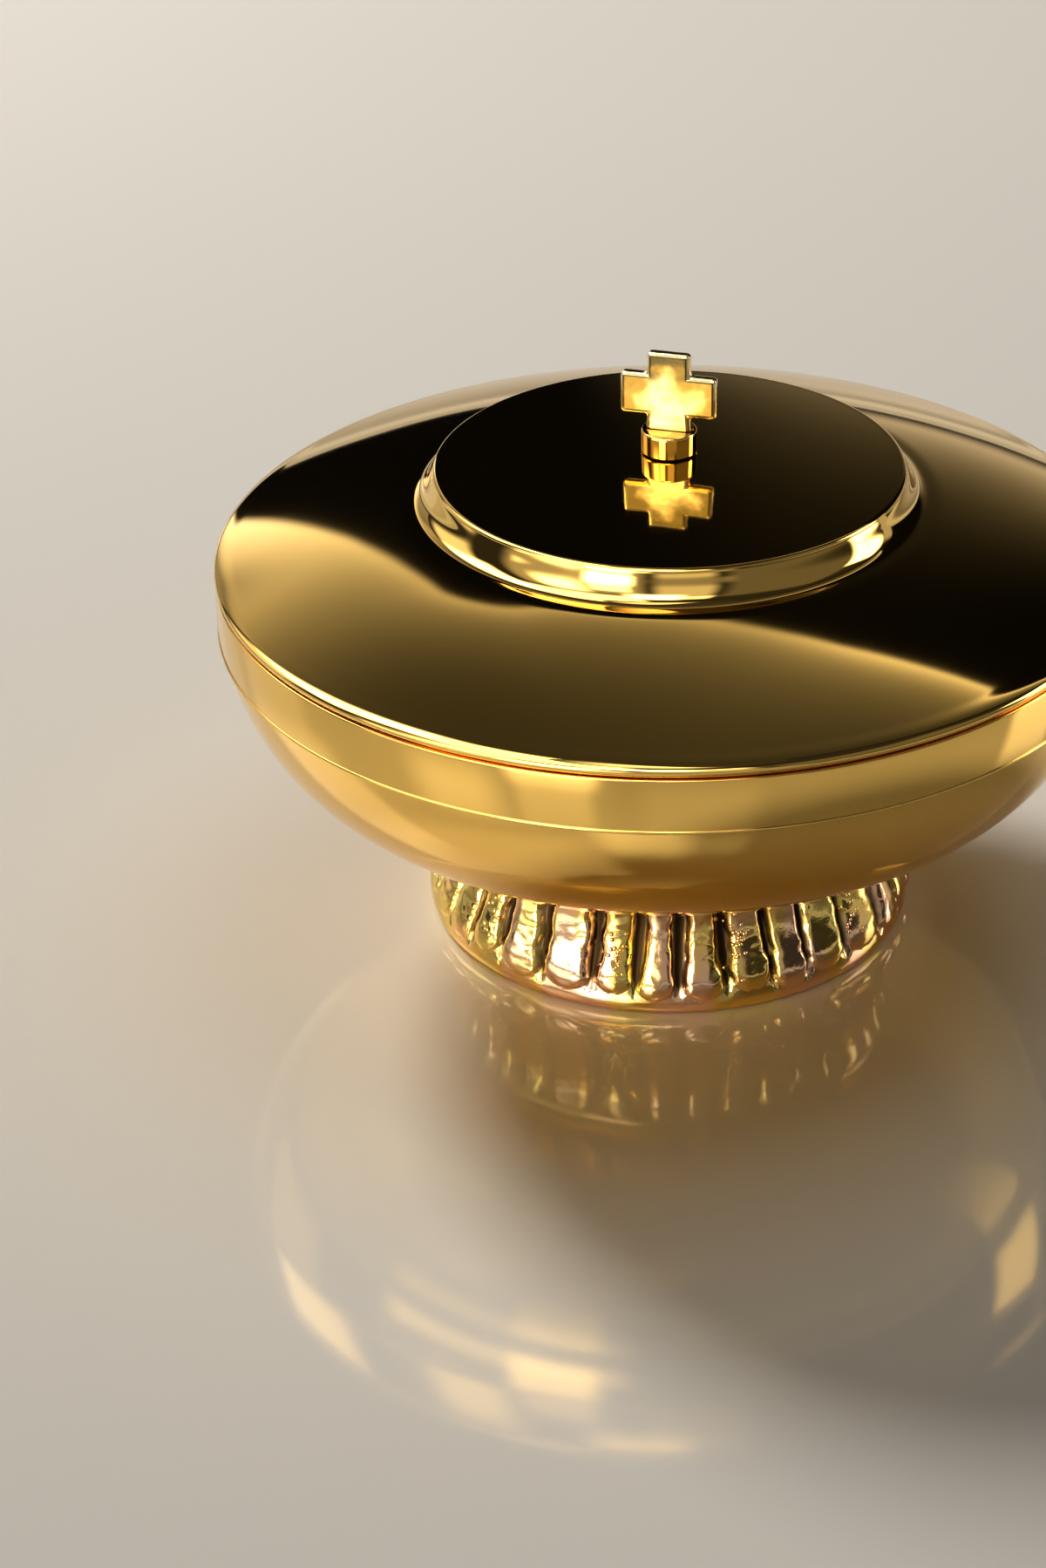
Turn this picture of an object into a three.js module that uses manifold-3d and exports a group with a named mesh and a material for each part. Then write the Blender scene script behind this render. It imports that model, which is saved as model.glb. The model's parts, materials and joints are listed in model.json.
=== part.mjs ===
// A low bowl ciborium with a lift-off cover: a spun cover and bowl, a rim band, a cast foot ring with
// irregular upright lobes, a small cast cross on a turned collar, and the studs and nuts that hold them.
// Millimetres, +Z up. The origin is on the resting surface, on the axis. The cross faces -Y.

import * as THREE from "three";
import { mergeVertices } from "three/addons/utils/BufferGeometryUtils.js";
import Module from "manifold-3d";

const wasm = await Module();
wasm.setup();

// Clearances
const touchGap = 0.3;
const threadGap = 0.3;
const locatingGap = 0.5;

// Foot ring
const footHeight = 26.2;
const footBandRadius = 43.8;
const footBandHeight = 2.2;
const footBandRounding = 1.4;
const footWaistRadius = 38.8;
const footWaistHeight = 19;
const footFlareLean = 0.8;
const footFlareRise = 5;
const footWaistDrop = 6;
const footRimRadius = 41.6;
const footRimHeight = 2.2;
const footRimSoftness = 0.4;
const footNeckRise = 1.6;
const footNeckReach = 1.8;
const footRestWidth = 2.8;
const footWaistWall = 2;
const footFlangeThickness = 1.8;
const footFlangeWidth = 5.8;
const lobeCount = 32;
const lobeDepth = 1.4;
const lobeLowestEnd = 2.4;
const lobeEndLength = 3.2;
const lobeTopEnd = 1.8;
const lobeEndWander = { size: 0.65, waves: 2.4, start: 1.1 };
const lobeSlowWander = { size: 0.02, waves: 5, start: 1 };
const lobeQuickWander = { size: 0.012, waves: 9, start: 2.2 };
const lobeLeanWander = { size: 0.035, waves: 7, start: -2.7 };

// Rim band and bowl
const bandOuterRadius = 79.8;
const bandWall = 0.9;
const bandHeight = 9.6;
const bandCrown = 0.2;
const bandEdgeStand = 0.4;
const bowlRimHeight = 67.9;
const bowlFloorInset = 1.1;
const bowlWall = 1.4;
const bowlShoulderLean = 2.7;
const bowlShoulderShare = 0.52;
const bowlFloorReach = 23.9;
const lipSoftness = 0.4;

// Cover
const coverOverhang = 0.2;
const coverSheet = 1.4;
const coverEdgeRadius = 1;
const coverEdgeWidth = 4.8;
const coverCrownRadius = 213;
const stepFootRadius = 45.2;
const stepWidth = 4;
const stepHeight = 4.5;
const stepFootWidthShare = 0.65;
const stepFootHeightShare = 0.125;
const stepTopWidthShare = 0.22;
const stepTopHeightShare = 0.32;
const shoulderWidth = 0.9;
const shoulderHeight = 0.7;
const discCrownRadius = 330;
const locatingRingWall = 1.2;
const locatingRingDepth = 5.7;

// Cross and collar
const crossWidth = 17;
const crossArmWidth = 7.6;
const crossFootWidth = 8.2;
const crossThickness = 2.2;
const crossTopArm = 4;
const crossEdgeSoftness = 0.35;
const crossCornerRadius = 0.5;
const crossSeatDepth = 1.2;
const crossLowerArm = 2.6;
const collarWall = 0.45;
const collarHeight = 4;
const collarChamfer = 0.5;

// Studs, washers, nuts and the clamp plate
const finialStudRadius = 2;
const finialStudSeat = 1.8;
const finialNutWall = 1.2;
const finialNutHeight = 2.4;
const finialWasherWidth = 2.7;
const footStudRadius = 3;
const footStudFlangeWidth = 6;
const footStudFlangeThickness = 1.4;
const footNutWall = 1.7;
const footNutHeight = 3;
const footWasherWidth = 4.7;
const washerThickness = 0.8;
const clampPlateThickness = 1.8;
const studTipChamfer = 0.5;
const studProud = 0.8;

// Facets
const roundSteps = 56;
const smallSteps = 24;
const stepsPerLobe = 4;

// Heights and radii that follow from the sizes above
const footContactRadius = footBandRadius - footBandRounding;
const footBoreAtBottom = footContactRadius - footRestWidth;
const footBoreAtTop = footWaistRadius - footWaistWall;
const footFlangeRadius = footBoreAtTop - footFlangeWidth;
const bandBottomHeight = bowlRimHeight - bandHeight;
const bandInnerRadius = bandOuterRadius - bandWall;
const bowlSeatRadius = bandInnerRadius - touchGap;
const bowlCreaseRadius = bandOuterRadius - bandEdgeStand;
const bowlMouthRadius = bowlSeatRadius - bowlWall;
const bowlFloorRadius = footRimRadius - bowlFloorInset;
const bowlFloorHeight = footHeight + touchGap;
const coverRadius = bandOuterRadius + coverOverhang;
const edgeHeight = bowlRimHeight + touchGap + coverEdgeRadius;
const edgeInnerRadius = coverRadius - coverEdgeWidth;
const stepTopRadius = stepFootRadius - stepWidth;
const locatingRingRadius = bowlMouthRadius - locatingGap;
const collarRadius = crossFootWidth / 2 + touchGap + collarWall;
const finialHole = finialStudRadius + threadGap;
const finialNutAcross = 2 * (finialHole + finialNutWall);
const finialWasherRadius = finialHole + finialWasherWidth;
const footHole = footStudRadius + threadGap;
const footNutAcross = 2 * (footHole + footNutWall);
const footWasherRadius = footHole + footWasherWidth;
const footStudFlangeRadius = footStudRadius + footStudFlangeWidth;

// Materials
function gilt(roughness) {
  return new THREE.MeshStandardMaterial({ color: 0xe0b45c, roughness, metalness: 1 });
}

function bareBrass() {
  return new THREE.MeshStandardMaterial({ color: 0xc8a14e, roughness: 0.4, metalness: 1 });
}

// Geometry helpers

// A point of an outline: distance from the axis, then height.
function at(radius, height) {
  return new THREE.Vector2(radius, height);
}

// A closed outline turned about the Z axis. Angle 0 is the front, towards -Y.
function turned(outline, steps = roundSteps) {
  const loop = THREE.ShapeUtils.area(outline) > 0 ? outline : outline.slice().reverse();
  const geometry = new THREE.LatheGeometry([...loop, loop[0]], steps);
  geometry.rotateX(Math.PI / 2);
  return geometry;
}

function curvePoints(from, firstPull, secondPull, to, steps) {
  return new THREE.CubicBezierCurve(from, firstPull, secondPull, to).getPoints(steps);
}

// Quarter of an ellipse from one outline point to another, which starts upright and ends level.
function quarter(from, to, steps) {
  const points = [];
  for (let i = 0; i <= steps; i += 1) {
    const turn = (Math.PI / 2) * (i / steps);
    const radius = to.x + (from.x - to.x) * Math.cos(turn);
    points.push(at(radius, from.y + (to.y - from.y) * Math.sin(turn)));
  }
  return points;
}

// Height of a sphere's cap above the level where the cap has the given radius.
function capHeight(sphereRadius, capRadius, radius) {
  return Math.sqrt(sphereRadius ** 2 - radius ** 2) - Math.sqrt(sphereRadius ** 2 - capRadius ** 2);
}

// The same line of points, moved sideways by a wall thickness.
function offset(points, distance) {
  return points.map((point, i) => {
    const before = points[Math.max(i - 1, 0)];
    const after = points[Math.min(i + 1, points.length - 1)];
    const along = after.clone().sub(before).normalize();
    return at(point.x - along.y * distance, point.y + along.x * distance);
  });
}

function solid(geometry) {
  const bare = geometry.clone();
  bare.deleteAttribute("normal");
  bare.deleteAttribute("uv");
  const merged = mergeVertices(bare, 1e-4);
  const vertProperties = new Float32Array(merged.attributes.position.array);
  const triVerts = new Uint32Array(merged.index.array);
  return new wasm.Manifold(new wasm.Mesh({ numProp: 3, vertProperties, triVerts }));
}

function fromSolid(body) {
  const mesh = body.getMesh();
  const geometry = new THREE.BufferGeometry();
  geometry.setAttribute("position", new THREE.BufferAttribute(mesh.vertProperties, 3));
  geometry.setIndex(new THREE.BufferAttribute(mesh.triVerts, 1));
  geometry.computeVertexNormals();
  return geometry;
}

function piece(name, geometry, material, height = 0) {
  const mesh = new THREE.Mesh(geometry, material);
  mesh.name = name;
  mesh.position.z = height;
  return mesh;
}

// A flat ring with square edges, standing on height 0.
function flatRing(inner, outer, thickness, steps) {
  return turned([at(inner, 0), at(outer, 0), at(outer, thickness), at(inner, thickness)], steps);
}

function hexNut(across, holeRadius, height) {
  const corner = across / Math.sqrt(3);
  const outline = new THREE.Shape();
  for (let i = 0; i < 6; i += 1) {
    const turn = (i * Math.PI) / 3;
    const x = corner * Math.cos(turn);
    const y = corner * Math.sin(turn);
    if (i === 0) outline.moveTo(x, y);
    else outline.lineTo(x, y);
  }
  outline.closePath();
  const hole = new THREE.Path();
  hole.absarc(0, 0, holeRadius, 0, Math.PI * 2, true);
  outline.holes.push(hole);
  return new THREE.ExtrudeGeometry(outline, { depth: height, bevelEnabled: false, curveSegments: 12 });
}

// Foot ring: the bare body of revolution, without its lobes
function footOuterLine() {
  const rimUnder = footHeight - footRimHeight;
  const edgeTop = at(footBandRadius, footBandRounding);
  const edge = quarter(edgeTop, at(footContactRadius, 0), 2).reverse();
  const shoulder = at(footBandRadius, footBandHeight);
  const waist = at(footWaistRadius, footWaistHeight);
  const flare = curvePoints(
    shoulder,
    at(footBandRadius - footFlareLean, footBandHeight + footFlareRise),
    at(footWaistRadius, footWaistHeight - footWaistDrop),
    waist,
    5,
  );
  const neck = curvePoints(
    waist,
    at(footWaistRadius, rimUnder - footNeckRise),
    at(footRimRadius - footNeckReach, rimUnder - footRimSoftness),
    at(footRimRadius - footRimSoftness, rimUnder + footRimSoftness / 2),
    2,
  );
  const rim = [
    at(footRimRadius, rimUnder + 2 * footRimSoftness),
    at(footRimRadius, footHeight - footRimSoftness),
    at(footRimRadius - footRimSoftness, footHeight),
  ];
  return [...edge, ...flare, ...neck.slice(1), ...rim];
}

// How far a lobe stands out, from 0 to 1: round across its width and round at both ends.
function lobeBulge(across, height, lowEnd, highEnd) {
  const low = THREE.MathUtils.clamp((height - lowEnd) / lobeEndLength, 0, 1);
  const high = THREE.MathUtils.clamp((highEnd - height) / lobeTopEnd, 0, 1);
  return Math.sqrt(Math.max(0, 1 - across ** 2 - (1 - low) ** 2 - (1 - high) ** 2));
}

function wave(wander, turn) {
  return wander.size * Math.sin(wander.waves * turn + wander.start);
}

// The lobes are uneven, as hand-cut ones are: their spacing, lean and lower ends wander.
function lobeShift(turn, height) {
  const lean = wave(lobeLeanWander, turn) * (0.5 - height / footHeight);
  return wave(lobeSlowWander, turn) + wave(lobeQuickWander, turn) + lean;
}

function lobeLowEnd(lobe) {
  return lobeLowestEnd + lobeEndWander.size + wave(lobeEndWander, lobe);
}

function addLobes(geometry) {
  const position = geometry.attributes.position;
  const rimUnder = footHeight - footRimHeight;
  for (let i = 0; i < position.count; i += 1) {
    const x = position.getX(i);
    const y = position.getY(i);
    const height = position.getZ(i);
    const radius = Math.hypot(x, y);
    const boreRadius = THREE.MathUtils.lerp(footBoreAtBottom, footBoreAtTop, height / footHeight);
    if (radius < boreRadius + touchGap) continue;
    const turn = Math.atan2(x, -y);
    const lobe = Math.round((turn * lobeCount) / (Math.PI * 2));
    const across = 2 * ((turn * lobeCount) / (Math.PI * 2) - lobe);
    const bulge = lobeBulge(across, height, lobeLowEnd((lobe + lobeCount) % lobeCount), rimUnder);
    const newRadius = radius + lobeDepth * bulge;
    const newTurn = turn + lobeShift(turn, height);
    position.setX(i, newRadius * Math.sin(newTurn));
    position.setY(i, -newRadius * Math.cos(newTurn));
  }
}

function footRing() {
  const flangeUnder = footHeight - footFlangeThickness;
  const inside = [
    at(footFlangeRadius, footHeight),
    at(footFlangeRadius, flangeUnder),
    at(footBoreAtTop, flangeUnder),
    at(footBoreAtBottom, 0),
  ];
  const geometry = turned([...footOuterLine(), ...inside], lobeCount * stepsPerLobe);
  addLobes(geometry);
  return piece("foot_ring", geometry, gilt(0.16));
}

// Foot fixing
function footStud() {
  const top = footHeight;
  const under = top - footStudFlangeThickness;
  const tip = footNutBottom() - studProud;
  const outline = [
    at(0, tip),
    at(footStudRadius - studTipChamfer, tip),
    at(footStudRadius, tip + studTipChamfer),
    at(footStudRadius, under),
    at(footStudFlangeRadius, under),
    at(footStudFlangeRadius, top),
    at(0, top),
  ];
  return piece("foot_stud", turned(outline, smallSteps), bareBrass());
}

function clampPlateBottom() {
  return footHeight - footFlangeThickness - touchGap - clampPlateThickness;
}

function footWasherBottom() {
  return clampPlateBottom() - touchGap - washerThickness;
}

function footNutBottom() {
  return footWasherBottom() - touchGap - footNutHeight;
}

function boreRadiusAt(height) {
  const flangeUnder = footHeight - footFlangeThickness;
  return THREE.MathUtils.lerp(footBoreAtBottom, footBoreAtTop, height / flangeUnder);
}

function clampPlate() {
  const outer = boreRadiusAt(clampPlateBottom() + clampPlateThickness) - touchGap;
  const geometry = flatRing(footHole, outer, clampPlateThickness, roundSteps);
  return piece("foot_clamp_plate", geometry, bareBrass(), clampPlateBottom());
}

function footWasher() {
  const geometry = flatRing(footHole, footWasherRadius, washerThickness, smallSteps);
  return piece("foot_washer", geometry, bareBrass(), footWasherBottom());
}

function footNut() {
  const geometry = hexNut(footNutAcross, footHole, footNutHeight);
  return piece("foot_nut", geometry, bareBrass(), footNutBottom());
}

// Bowl: a spun shell with a seat for the rim band and a rounded underside
function bowl() {
  const crease = at(bowlCreaseRadius, bandBottomHeight - touchGap);
  const floor = at(bowlFloorRadius, bowlFloorHeight);
  const depth = crease.y - floor.y;
  const underside = curvePoints(
    crease,
    at(crease.x - bowlShoulderLean, crease.y - bowlShoulderShare * depth),
    at(floor.x + bowlFloorReach, floor.y),
    floor,
    10,
  );
  const lip = at(bowlSeatRadius, bowlRimHeight - lipSoftness);
  const outside = [at(0, floor.y), ...underside.toReversed(), at(bowlSeatRadius, crease.y), lip];
  const innerFace = offset(underside, -bowlWall);
  const inside = [
    at(bowlSeatRadius - lipSoftness, bowlRimHeight),
    at(bowlMouthRadius + lipSoftness, bowlRimHeight),
    at(bowlMouthRadius, bowlRimHeight - lipSoftness),
    at(bowlMouthRadius, crease.y - bowlWall),
    ...innerFace.slice(1, -1),
    at(bowlFloorRadius, floor.y + bowlWall),
    at(0, floor.y + bowlWall),
  ];
  return piece("bowl", turned([...outside, ...inside]), gilt(0.06));
}

// Rim band: the slightly crowned band soldered round the bowl's mouth
function rimBand() {
  const low = bandBottomHeight;
  const high = bowlRimHeight;
  const middle = (low + high) / 2;
  const face = new THREE.QuadraticBezierCurve(
    at(bandOuterRadius, low + lipSoftness),
    at(bandOuterRadius + 2 * bandCrown, middle),
    at(bandOuterRadius, high - lipSoftness),
  ).getPoints(4);
  const outline = [
    at(bandInnerRadius, low),
    at(bandOuterRadius - lipSoftness, low),
    ...face,
    at(bandOuterRadius - lipSoftness, high),
    at(bandInnerRadius, high),
  ];
  return piece("rim_band", turned(outline), gilt(0.06));
}

// Cover: its upper skin, from the rounded edge up to the finial's hole
function coverUpperSkin() {
  const edgeTurn = Math.asin((coverRadius - coverEdgeRadius) / coverCrownRadius);
  const edgeCentre = coverRadius - coverEdgeRadius;
  const edge = [];
  for (let i = 0; i <= 5; i += 1) {
    const turn = -Math.PI / 2 + ((Math.PI - edgeTurn) * i) / 5;
    const radius = edgeCentre + coverEdgeRadius * Math.cos(turn);
    edge.push(at(radius, edgeHeight + coverEdgeRadius * Math.sin(turn)));
  }
  const rimPoint = edge[edge.length - 1];
  const crown = [];
  for (let i = 1; i <= 4; i += 1) {
    const radius = THREE.MathUtils.lerp(rimPoint.x, stepFootRadius, i / 4);
    crown.push(at(radius, rimPoint.y + capHeight(coverCrownRadius, rimPoint.x, radius)));
  }
  const stepFoot = crown[crown.length - 1];
  const stepTop = at(stepTopRadius, stepFoot.y + stepHeight);
  const step = curvePoints(
    stepFoot,
    at(stepFoot.x - stepFootWidthShare * stepWidth, stepFoot.y + stepFootHeightShare * stepHeight),
    at(stepTop.x + stepTopWidthShare * stepWidth, stepTop.y - stepTopHeightShare * stepHeight),
    stepTop,
    4,
  );
  const shoulder = at(stepTopRadius - shoulderWidth, stepTop.y + shoulderHeight);
  const bend = quarter(stepTop, shoulder, 2);
  const disc = [];
  for (let i = 1; i <= 4; i += 1) {
    const radius = THREE.MathUtils.lerp(shoulder.x, finialHole, i / 4);
    disc.push(at(radius, shoulder.y + capHeight(discCrownRadius, shoulder.x, radius)));
  }
  return [...edge, ...crown, ...step.slice(1), ...bend.slice(1), ...disc];
}

// The lower skin is the upper one let down by the sheet's height, as a spun wall thins on a steep face.
function cover() {
  const upper = coverUpperSkin();
  const lower = upper
    .filter((point) => point.x < edgeInnerRadius - lipSoftness)
    .map((point) => at(point.x, point.y - coverSheet))
    .reverse();
  const edgeBottom = edgeHeight - coverEdgeRadius;
  const nearEdge = upper.find((point) => point.x < edgeInnerRadius);
  const crownAtEdge = nearEdge.y + capHeight(coverCrownRadius, nearEdge.x, edgeInnerRadius);
  const outline = [
    ...upper,
    ...lower,
    at(edgeInnerRadius - lipSoftness, crownAtEdge - coverSheet),
    at(edgeInnerRadius, edgeBottom),
  ];
  return piece("cover", turned(outline), gilt(0.06));
}

function coverTopHeight() {
  const skin = coverUpperSkin();
  return skin[skin.length - 1].y;
}

function locatingRing() {
  const inner = locatingRingRadius - locatingRingWall;
  const top = edgeHeight - coverEdgeRadius - touchGap;
  const geometry = flatRing(inner, locatingRingRadius, locatingRingDepth, roundSteps);
  return piece("locating_ring", geometry, gilt(0.1), top - locatingRingDepth);
}

// Finial: collar, cross, stud, washer and nut
function collarBottom() {
  return coverTopHeight() + touchGap;
}

function finialCollar() {
  const bottom = collarBottom();
  const top = bottom + collarHeight;
  const outline = [
    at(0, bottom + finialStudSeat + touchGap),
    at(finialHole, bottom + finialStudSeat + touchGap),
    at(finialHole, bottom),
    at(collarRadius, bottom),
    at(collarRadius, top - collarChamfer),
    at(collarRadius - collarChamfer / 2, top),
    at(0, top),
  ];
  const slot = new THREE.BoxGeometry(
    crossFootWidth + 2 * touchGap,
    crossThickness + 2 * touchGap,
    2 * (crossSeatDepth + touchGap),
  );
  slot.translate(0, 0, top);
  const body = solid(turned(outline, 2 * smallSteps)).subtract(solid(slot));
  return piece("finial_collar", fromSolid(body), gilt(0.08));
}

function crossOutline() {
  const softness = crossEdgeSoftness;
  const halfWidth = crossWidth / 2 - softness;
  const halfArm = crossArmWidth / 2 - softness;
  const halfFoot = crossFootWidth / 2 - softness;
  const footLevel = softness;
  const underArm = crossSeatDepth + crossLowerArm + softness;
  const overArm = underArm + crossArmWidth - 2 * softness;
  const topLevel = overArm + crossTopArm;
  const corners = [
    [halfFoot, footLevel],
    [halfArm, underArm],
    [halfWidth, underArm],
    [halfWidth, overArm],
    [halfArm, overArm],
    [halfArm, topLevel],
  ];
  const mirrored = corners.map(([x, y]) => [-x, y]).reverse();
  return [...corners, ...mirrored];
}

// A closed shape through the given corners, with each corner rounded.
function roundedShape(corners, radius) {
  const shape = new THREE.Shape();
  corners.forEach(([x, y], i) => {
    const corner = new THREE.Vector2(x, y);
    const before = new THREE.Vector2(...corners[(i + corners.length - 1) % corners.length]);
    const after = new THREE.Vector2(...corners[(i + 1) % corners.length]);
    const enter = corner.clone().add(before.sub(corner).setLength(radius));
    const leave = corner.clone().add(after.sub(corner).setLength(radius));
    if (i === 0) shape.moveTo(enter.x, enter.y);
    else shape.lineTo(enter.x, enter.y);
    shape.quadraticCurveTo(corner.x, corner.y, leave.x, leave.y);
  });
  shape.closePath();
  return shape;
}

function finialCross() {
  const softness = crossEdgeSoftness;
  const shape = roundedShape(crossOutline(), crossCornerRadius);
  const geometry = new THREE.ExtrudeGeometry(shape, {
    depth: crossThickness - 2 * softness,
    bevelThickness: softness,
    bevelSize: softness,
    bevelSegments: 2,
    curveSegments: 3,
  });
  geometry.translate(0, 0, softness - crossThickness / 2);
  geometry.rotateX(Math.PI / 2);
  const seat = collarBottom() + collarHeight - crossSeatDepth;
  return piece("finial_cross", geometry, gilt(0.25), seat);
}

function finialWasherBottom() {
  return coverTopHeight() - coverSheet - touchGap - washerThickness;
}

function finialNutBottom() {
  return finialWasherBottom() - touchGap - finialNutHeight;
}

function finialStud() {
  const tip = finialNutBottom() - studProud;
  const top = collarBottom() + finialStudSeat;
  const outline = [
    at(0, tip),
    at(finialStudRadius - studTipChamfer, tip),
    at(finialStudRadius, tip + studTipChamfer),
    at(finialStudRadius, top),
    at(0, top),
  ];
  return piece("finial_stud", turned(outline, smallSteps), bareBrass());
}

function finialWasher() {
  const geometry = flatRing(finialHole, finialWasherRadius, washerThickness, smallSteps);
  return piece("finial_washer", geometry, bareBrass(), finialWasherBottom());
}

function finialNut() {
  const geometry = hexNut(finialNutAcross, finialHole, finialNutHeight);
  return piece("finial_nut", geometry, bareBrass(), finialNutBottom());
}

// The whole object
const vessel = new THREE.Group();
vessel.add(footRing(), clampPlate(), footStud(), footWasher(), footNut(), bowl(), rimBand());

const lid = new THREE.Group();
lid.add(cover(), locatingRing(), finialCollar(), finialCross(), finialStud(), finialWasher(), finialNut());

const group = new THREE.Group();
group.add(vessel, lid);

export default group;
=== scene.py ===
# %% [markdown]
# # A low gold-plated ciborium
#
# A ciborium is the covered cup that keeps communion wafers. This one is low and wide: a bowl and a
# lift-off cover of spun brass, polished like a mirror and plated with gold, on a cast foot with
# hammered upright lobes. A small cast cross stands on the cover.
#
# The solid model comes first and fixes every size. This lesson builds the looks around it: smooth
# spun skins, a lively cast foot, gold that mirrors a small studio, and a camera at the photograph's
# angle. All lengths in the shape cells are in millimetres, and one factor turns them to metres.

# %% Load the solid model
import json
import math

import bmesh
import bpy
import numpy as np
from mathutils import Matrix, Vector, noise

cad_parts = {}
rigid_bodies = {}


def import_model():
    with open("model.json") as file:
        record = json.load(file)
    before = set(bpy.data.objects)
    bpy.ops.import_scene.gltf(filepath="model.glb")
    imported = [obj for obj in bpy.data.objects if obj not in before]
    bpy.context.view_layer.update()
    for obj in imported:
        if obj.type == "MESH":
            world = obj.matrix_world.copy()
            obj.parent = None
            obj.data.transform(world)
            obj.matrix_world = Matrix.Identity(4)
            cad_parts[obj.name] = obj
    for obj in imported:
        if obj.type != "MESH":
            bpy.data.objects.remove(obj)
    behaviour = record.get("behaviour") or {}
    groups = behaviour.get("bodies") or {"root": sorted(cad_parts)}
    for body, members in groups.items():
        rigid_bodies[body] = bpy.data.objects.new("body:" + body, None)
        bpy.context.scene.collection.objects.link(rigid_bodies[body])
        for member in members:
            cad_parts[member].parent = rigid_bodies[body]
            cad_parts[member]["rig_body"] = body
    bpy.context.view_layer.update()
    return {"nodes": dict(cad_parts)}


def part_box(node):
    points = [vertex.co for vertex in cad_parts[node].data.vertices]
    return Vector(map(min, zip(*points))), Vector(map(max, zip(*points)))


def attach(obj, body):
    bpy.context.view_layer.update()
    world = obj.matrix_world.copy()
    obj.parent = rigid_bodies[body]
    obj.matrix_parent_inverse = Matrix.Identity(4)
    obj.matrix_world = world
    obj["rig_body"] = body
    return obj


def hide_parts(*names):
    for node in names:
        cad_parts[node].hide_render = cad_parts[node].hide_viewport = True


MM = 0.001

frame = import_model()
print("solid nodes:", sorted(frame["nodes"]))

# %% [markdown]
# ## Two small helpers for materials
#
# Colours are written as the sRGB hex values that a painting program shows. Blender's shaders want
# linear light, so one function converts them. The second helper adds a node, sets its settings and
# links or fills its sockets, so that a material reads as a list of its parts.

# %% Colour and node helpers
def linear(hex_colour):
    values = [int(hex_colour[i : i + 2], 16) / 255 for i in (1, 3, 5)]
    return tuple(v / 12.92 if v <= 0.04045 else ((v + 0.055) / 1.055) ** 2.4 for v in values) + (1.0,)


def add_node(tree, kind, sockets=None, **settings):
    node = tree.nodes.new(kind)
    for name, value in settings.items():
        setattr(node, name, value)
    for name, value in (sockets or {}).items():
        if isinstance(value, bpy.types.NodeSocket):
            tree.links.new(value, node.inputs[name])
        else:
            node.inputs[name].default_value = value
    return node


print("mid grey #808080 in linear light:", round(linear("#808080")[0], 3))

# %% [markdown]
# ## The camera
#
# The photograph looks down at about 26 degrees from 0.65 m with a lens like an 85 mm one. The vessel
# stands right of the middle and its right edge is cut off, so the camera looks a little to the left
# of it and a little below its cover. Turning the camera by these small angles, and not shifting the
# lens, keeps the perspective of the round cover as it is. The cross shows its right-hand end, so the
# camera stands 14 degrees to the right of the cross's own front.

# %% Set the camera
COVER_EDGE_HEIGHT = 69.2
CAMERA_DISTANCE = 654
CAMERA_HEIGHT_ANGLE = 26.21
CAMERA_SIDE_ANGLE = 14
LOOK_LEFT = 2.25
LOOK_DOWN = 3.62
LENS = 85.05
SENSOR_WIDTH = 36


def direction(side_angle, height_angle):
    """Unit vector away from the vessel. Side angle 0 is towards the camera, and + is to its right."""
    side = math.radians(side_angle + CAMERA_SIDE_ANGLE)
    height = math.radians(height_angle)
    return Vector((math.sin(side) * math.cos(height), -math.cos(side) * math.cos(height), math.sin(height)))


cover_centre = Vector((0, 0, COVER_EDGE_HEIGHT * MM))
camera_data = bpy.data.cameras.new("camera")
camera_data.lens = LENS
camera_data.sensor_width = SENSOR_WIDTH
camera_data.sensor_fit = "AUTO"
camera_data.clip_start = 10 * MM
camera = bpy.data.objects.new("camera", camera_data)
bpy.context.scene.collection.objects.link(camera)
camera_place = cover_centre + direction(0, CAMERA_HEIGHT_ANGLE) * CAMERA_DISTANCE * MM
camera_turn = (cover_centre - camera_place).to_track_quat("-Z", "Y")
camera_turn = camera_turn @ Matrix.Rotation(math.radians(LOOK_LEFT), 3, "Y").to_quaternion()
camera_turn = camera_turn @ Matrix.Rotation(math.radians(-LOOK_DOWN), 3, "X").to_quaternion()
camera.matrix_world = Matrix.Translation(camera_place) @ camera_turn.to_matrix().to_4x4()
bpy.context.scene.camera = camera
print("camera at", [round(value, 3) for value in camera_place])

# %% [markdown]
# ## The studio
#
# Polished metal has no look of its own: it shows what stands round it. The photograph was taken in
# front of black cloth, between large soft lights. Here the floor is a plain board of pale acrylic, so
# the parts that face down mirror that, and its slight gloss adds a soft image of the lights and of
# the vessel. The lamps only reach the board near the vessel, so further out it glows by itself, for
# the camera and for mirrors, and stays pale up to the far wall. The wall is pale too, and the ceiling
# is dim, so the cover can go dark between the lights as it does in the photograph.
#
# A bare rectangular lamp has hard edges in a mirror. The soft lights here are pieces of a sphere
# round the vessel, like the walls of a light tent, and each has its own fall of brightness, written
# as a formula of the direction. Only mirrors see them. Two lamps, which mirrors don't see, light the
# floor, so the gold and the floor can each get the light that suits them.

# %% Floor and far wall
FLOOR_COLOUR = "#e3e1dc"
FLOOR_HALF_WIDTH = 6.0
FLOOR_ROUGHNESS = (0.05, 0.08)
FLOOR_HAZE = 100 / 3 * MM
ACRYLIC_IOR = 1.49
# The lamps' light gives way to the floor's own between these distances in metres.
FAR_FLOOR = (0.7, 2.2)
FAR_FLOOR_BRIGHTNESS = 0.85
FAR_WALL_COLOUR = "#d9d7d2"
FAR_WALL_BRIGHTNESS = 0.75
CEILING_BRIGHTNESS = 0.01
# The pale wall gives way to the ceiling between these heights on a sphere of radius 1.
CEILING_FADE = (0.15, 0.32)


def new_material(name):
    material = bpy.data.materials.new(name)
    material.use_nodes = True
    material.node_tree.nodes.clear()
    return material, material.node_tree


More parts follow.
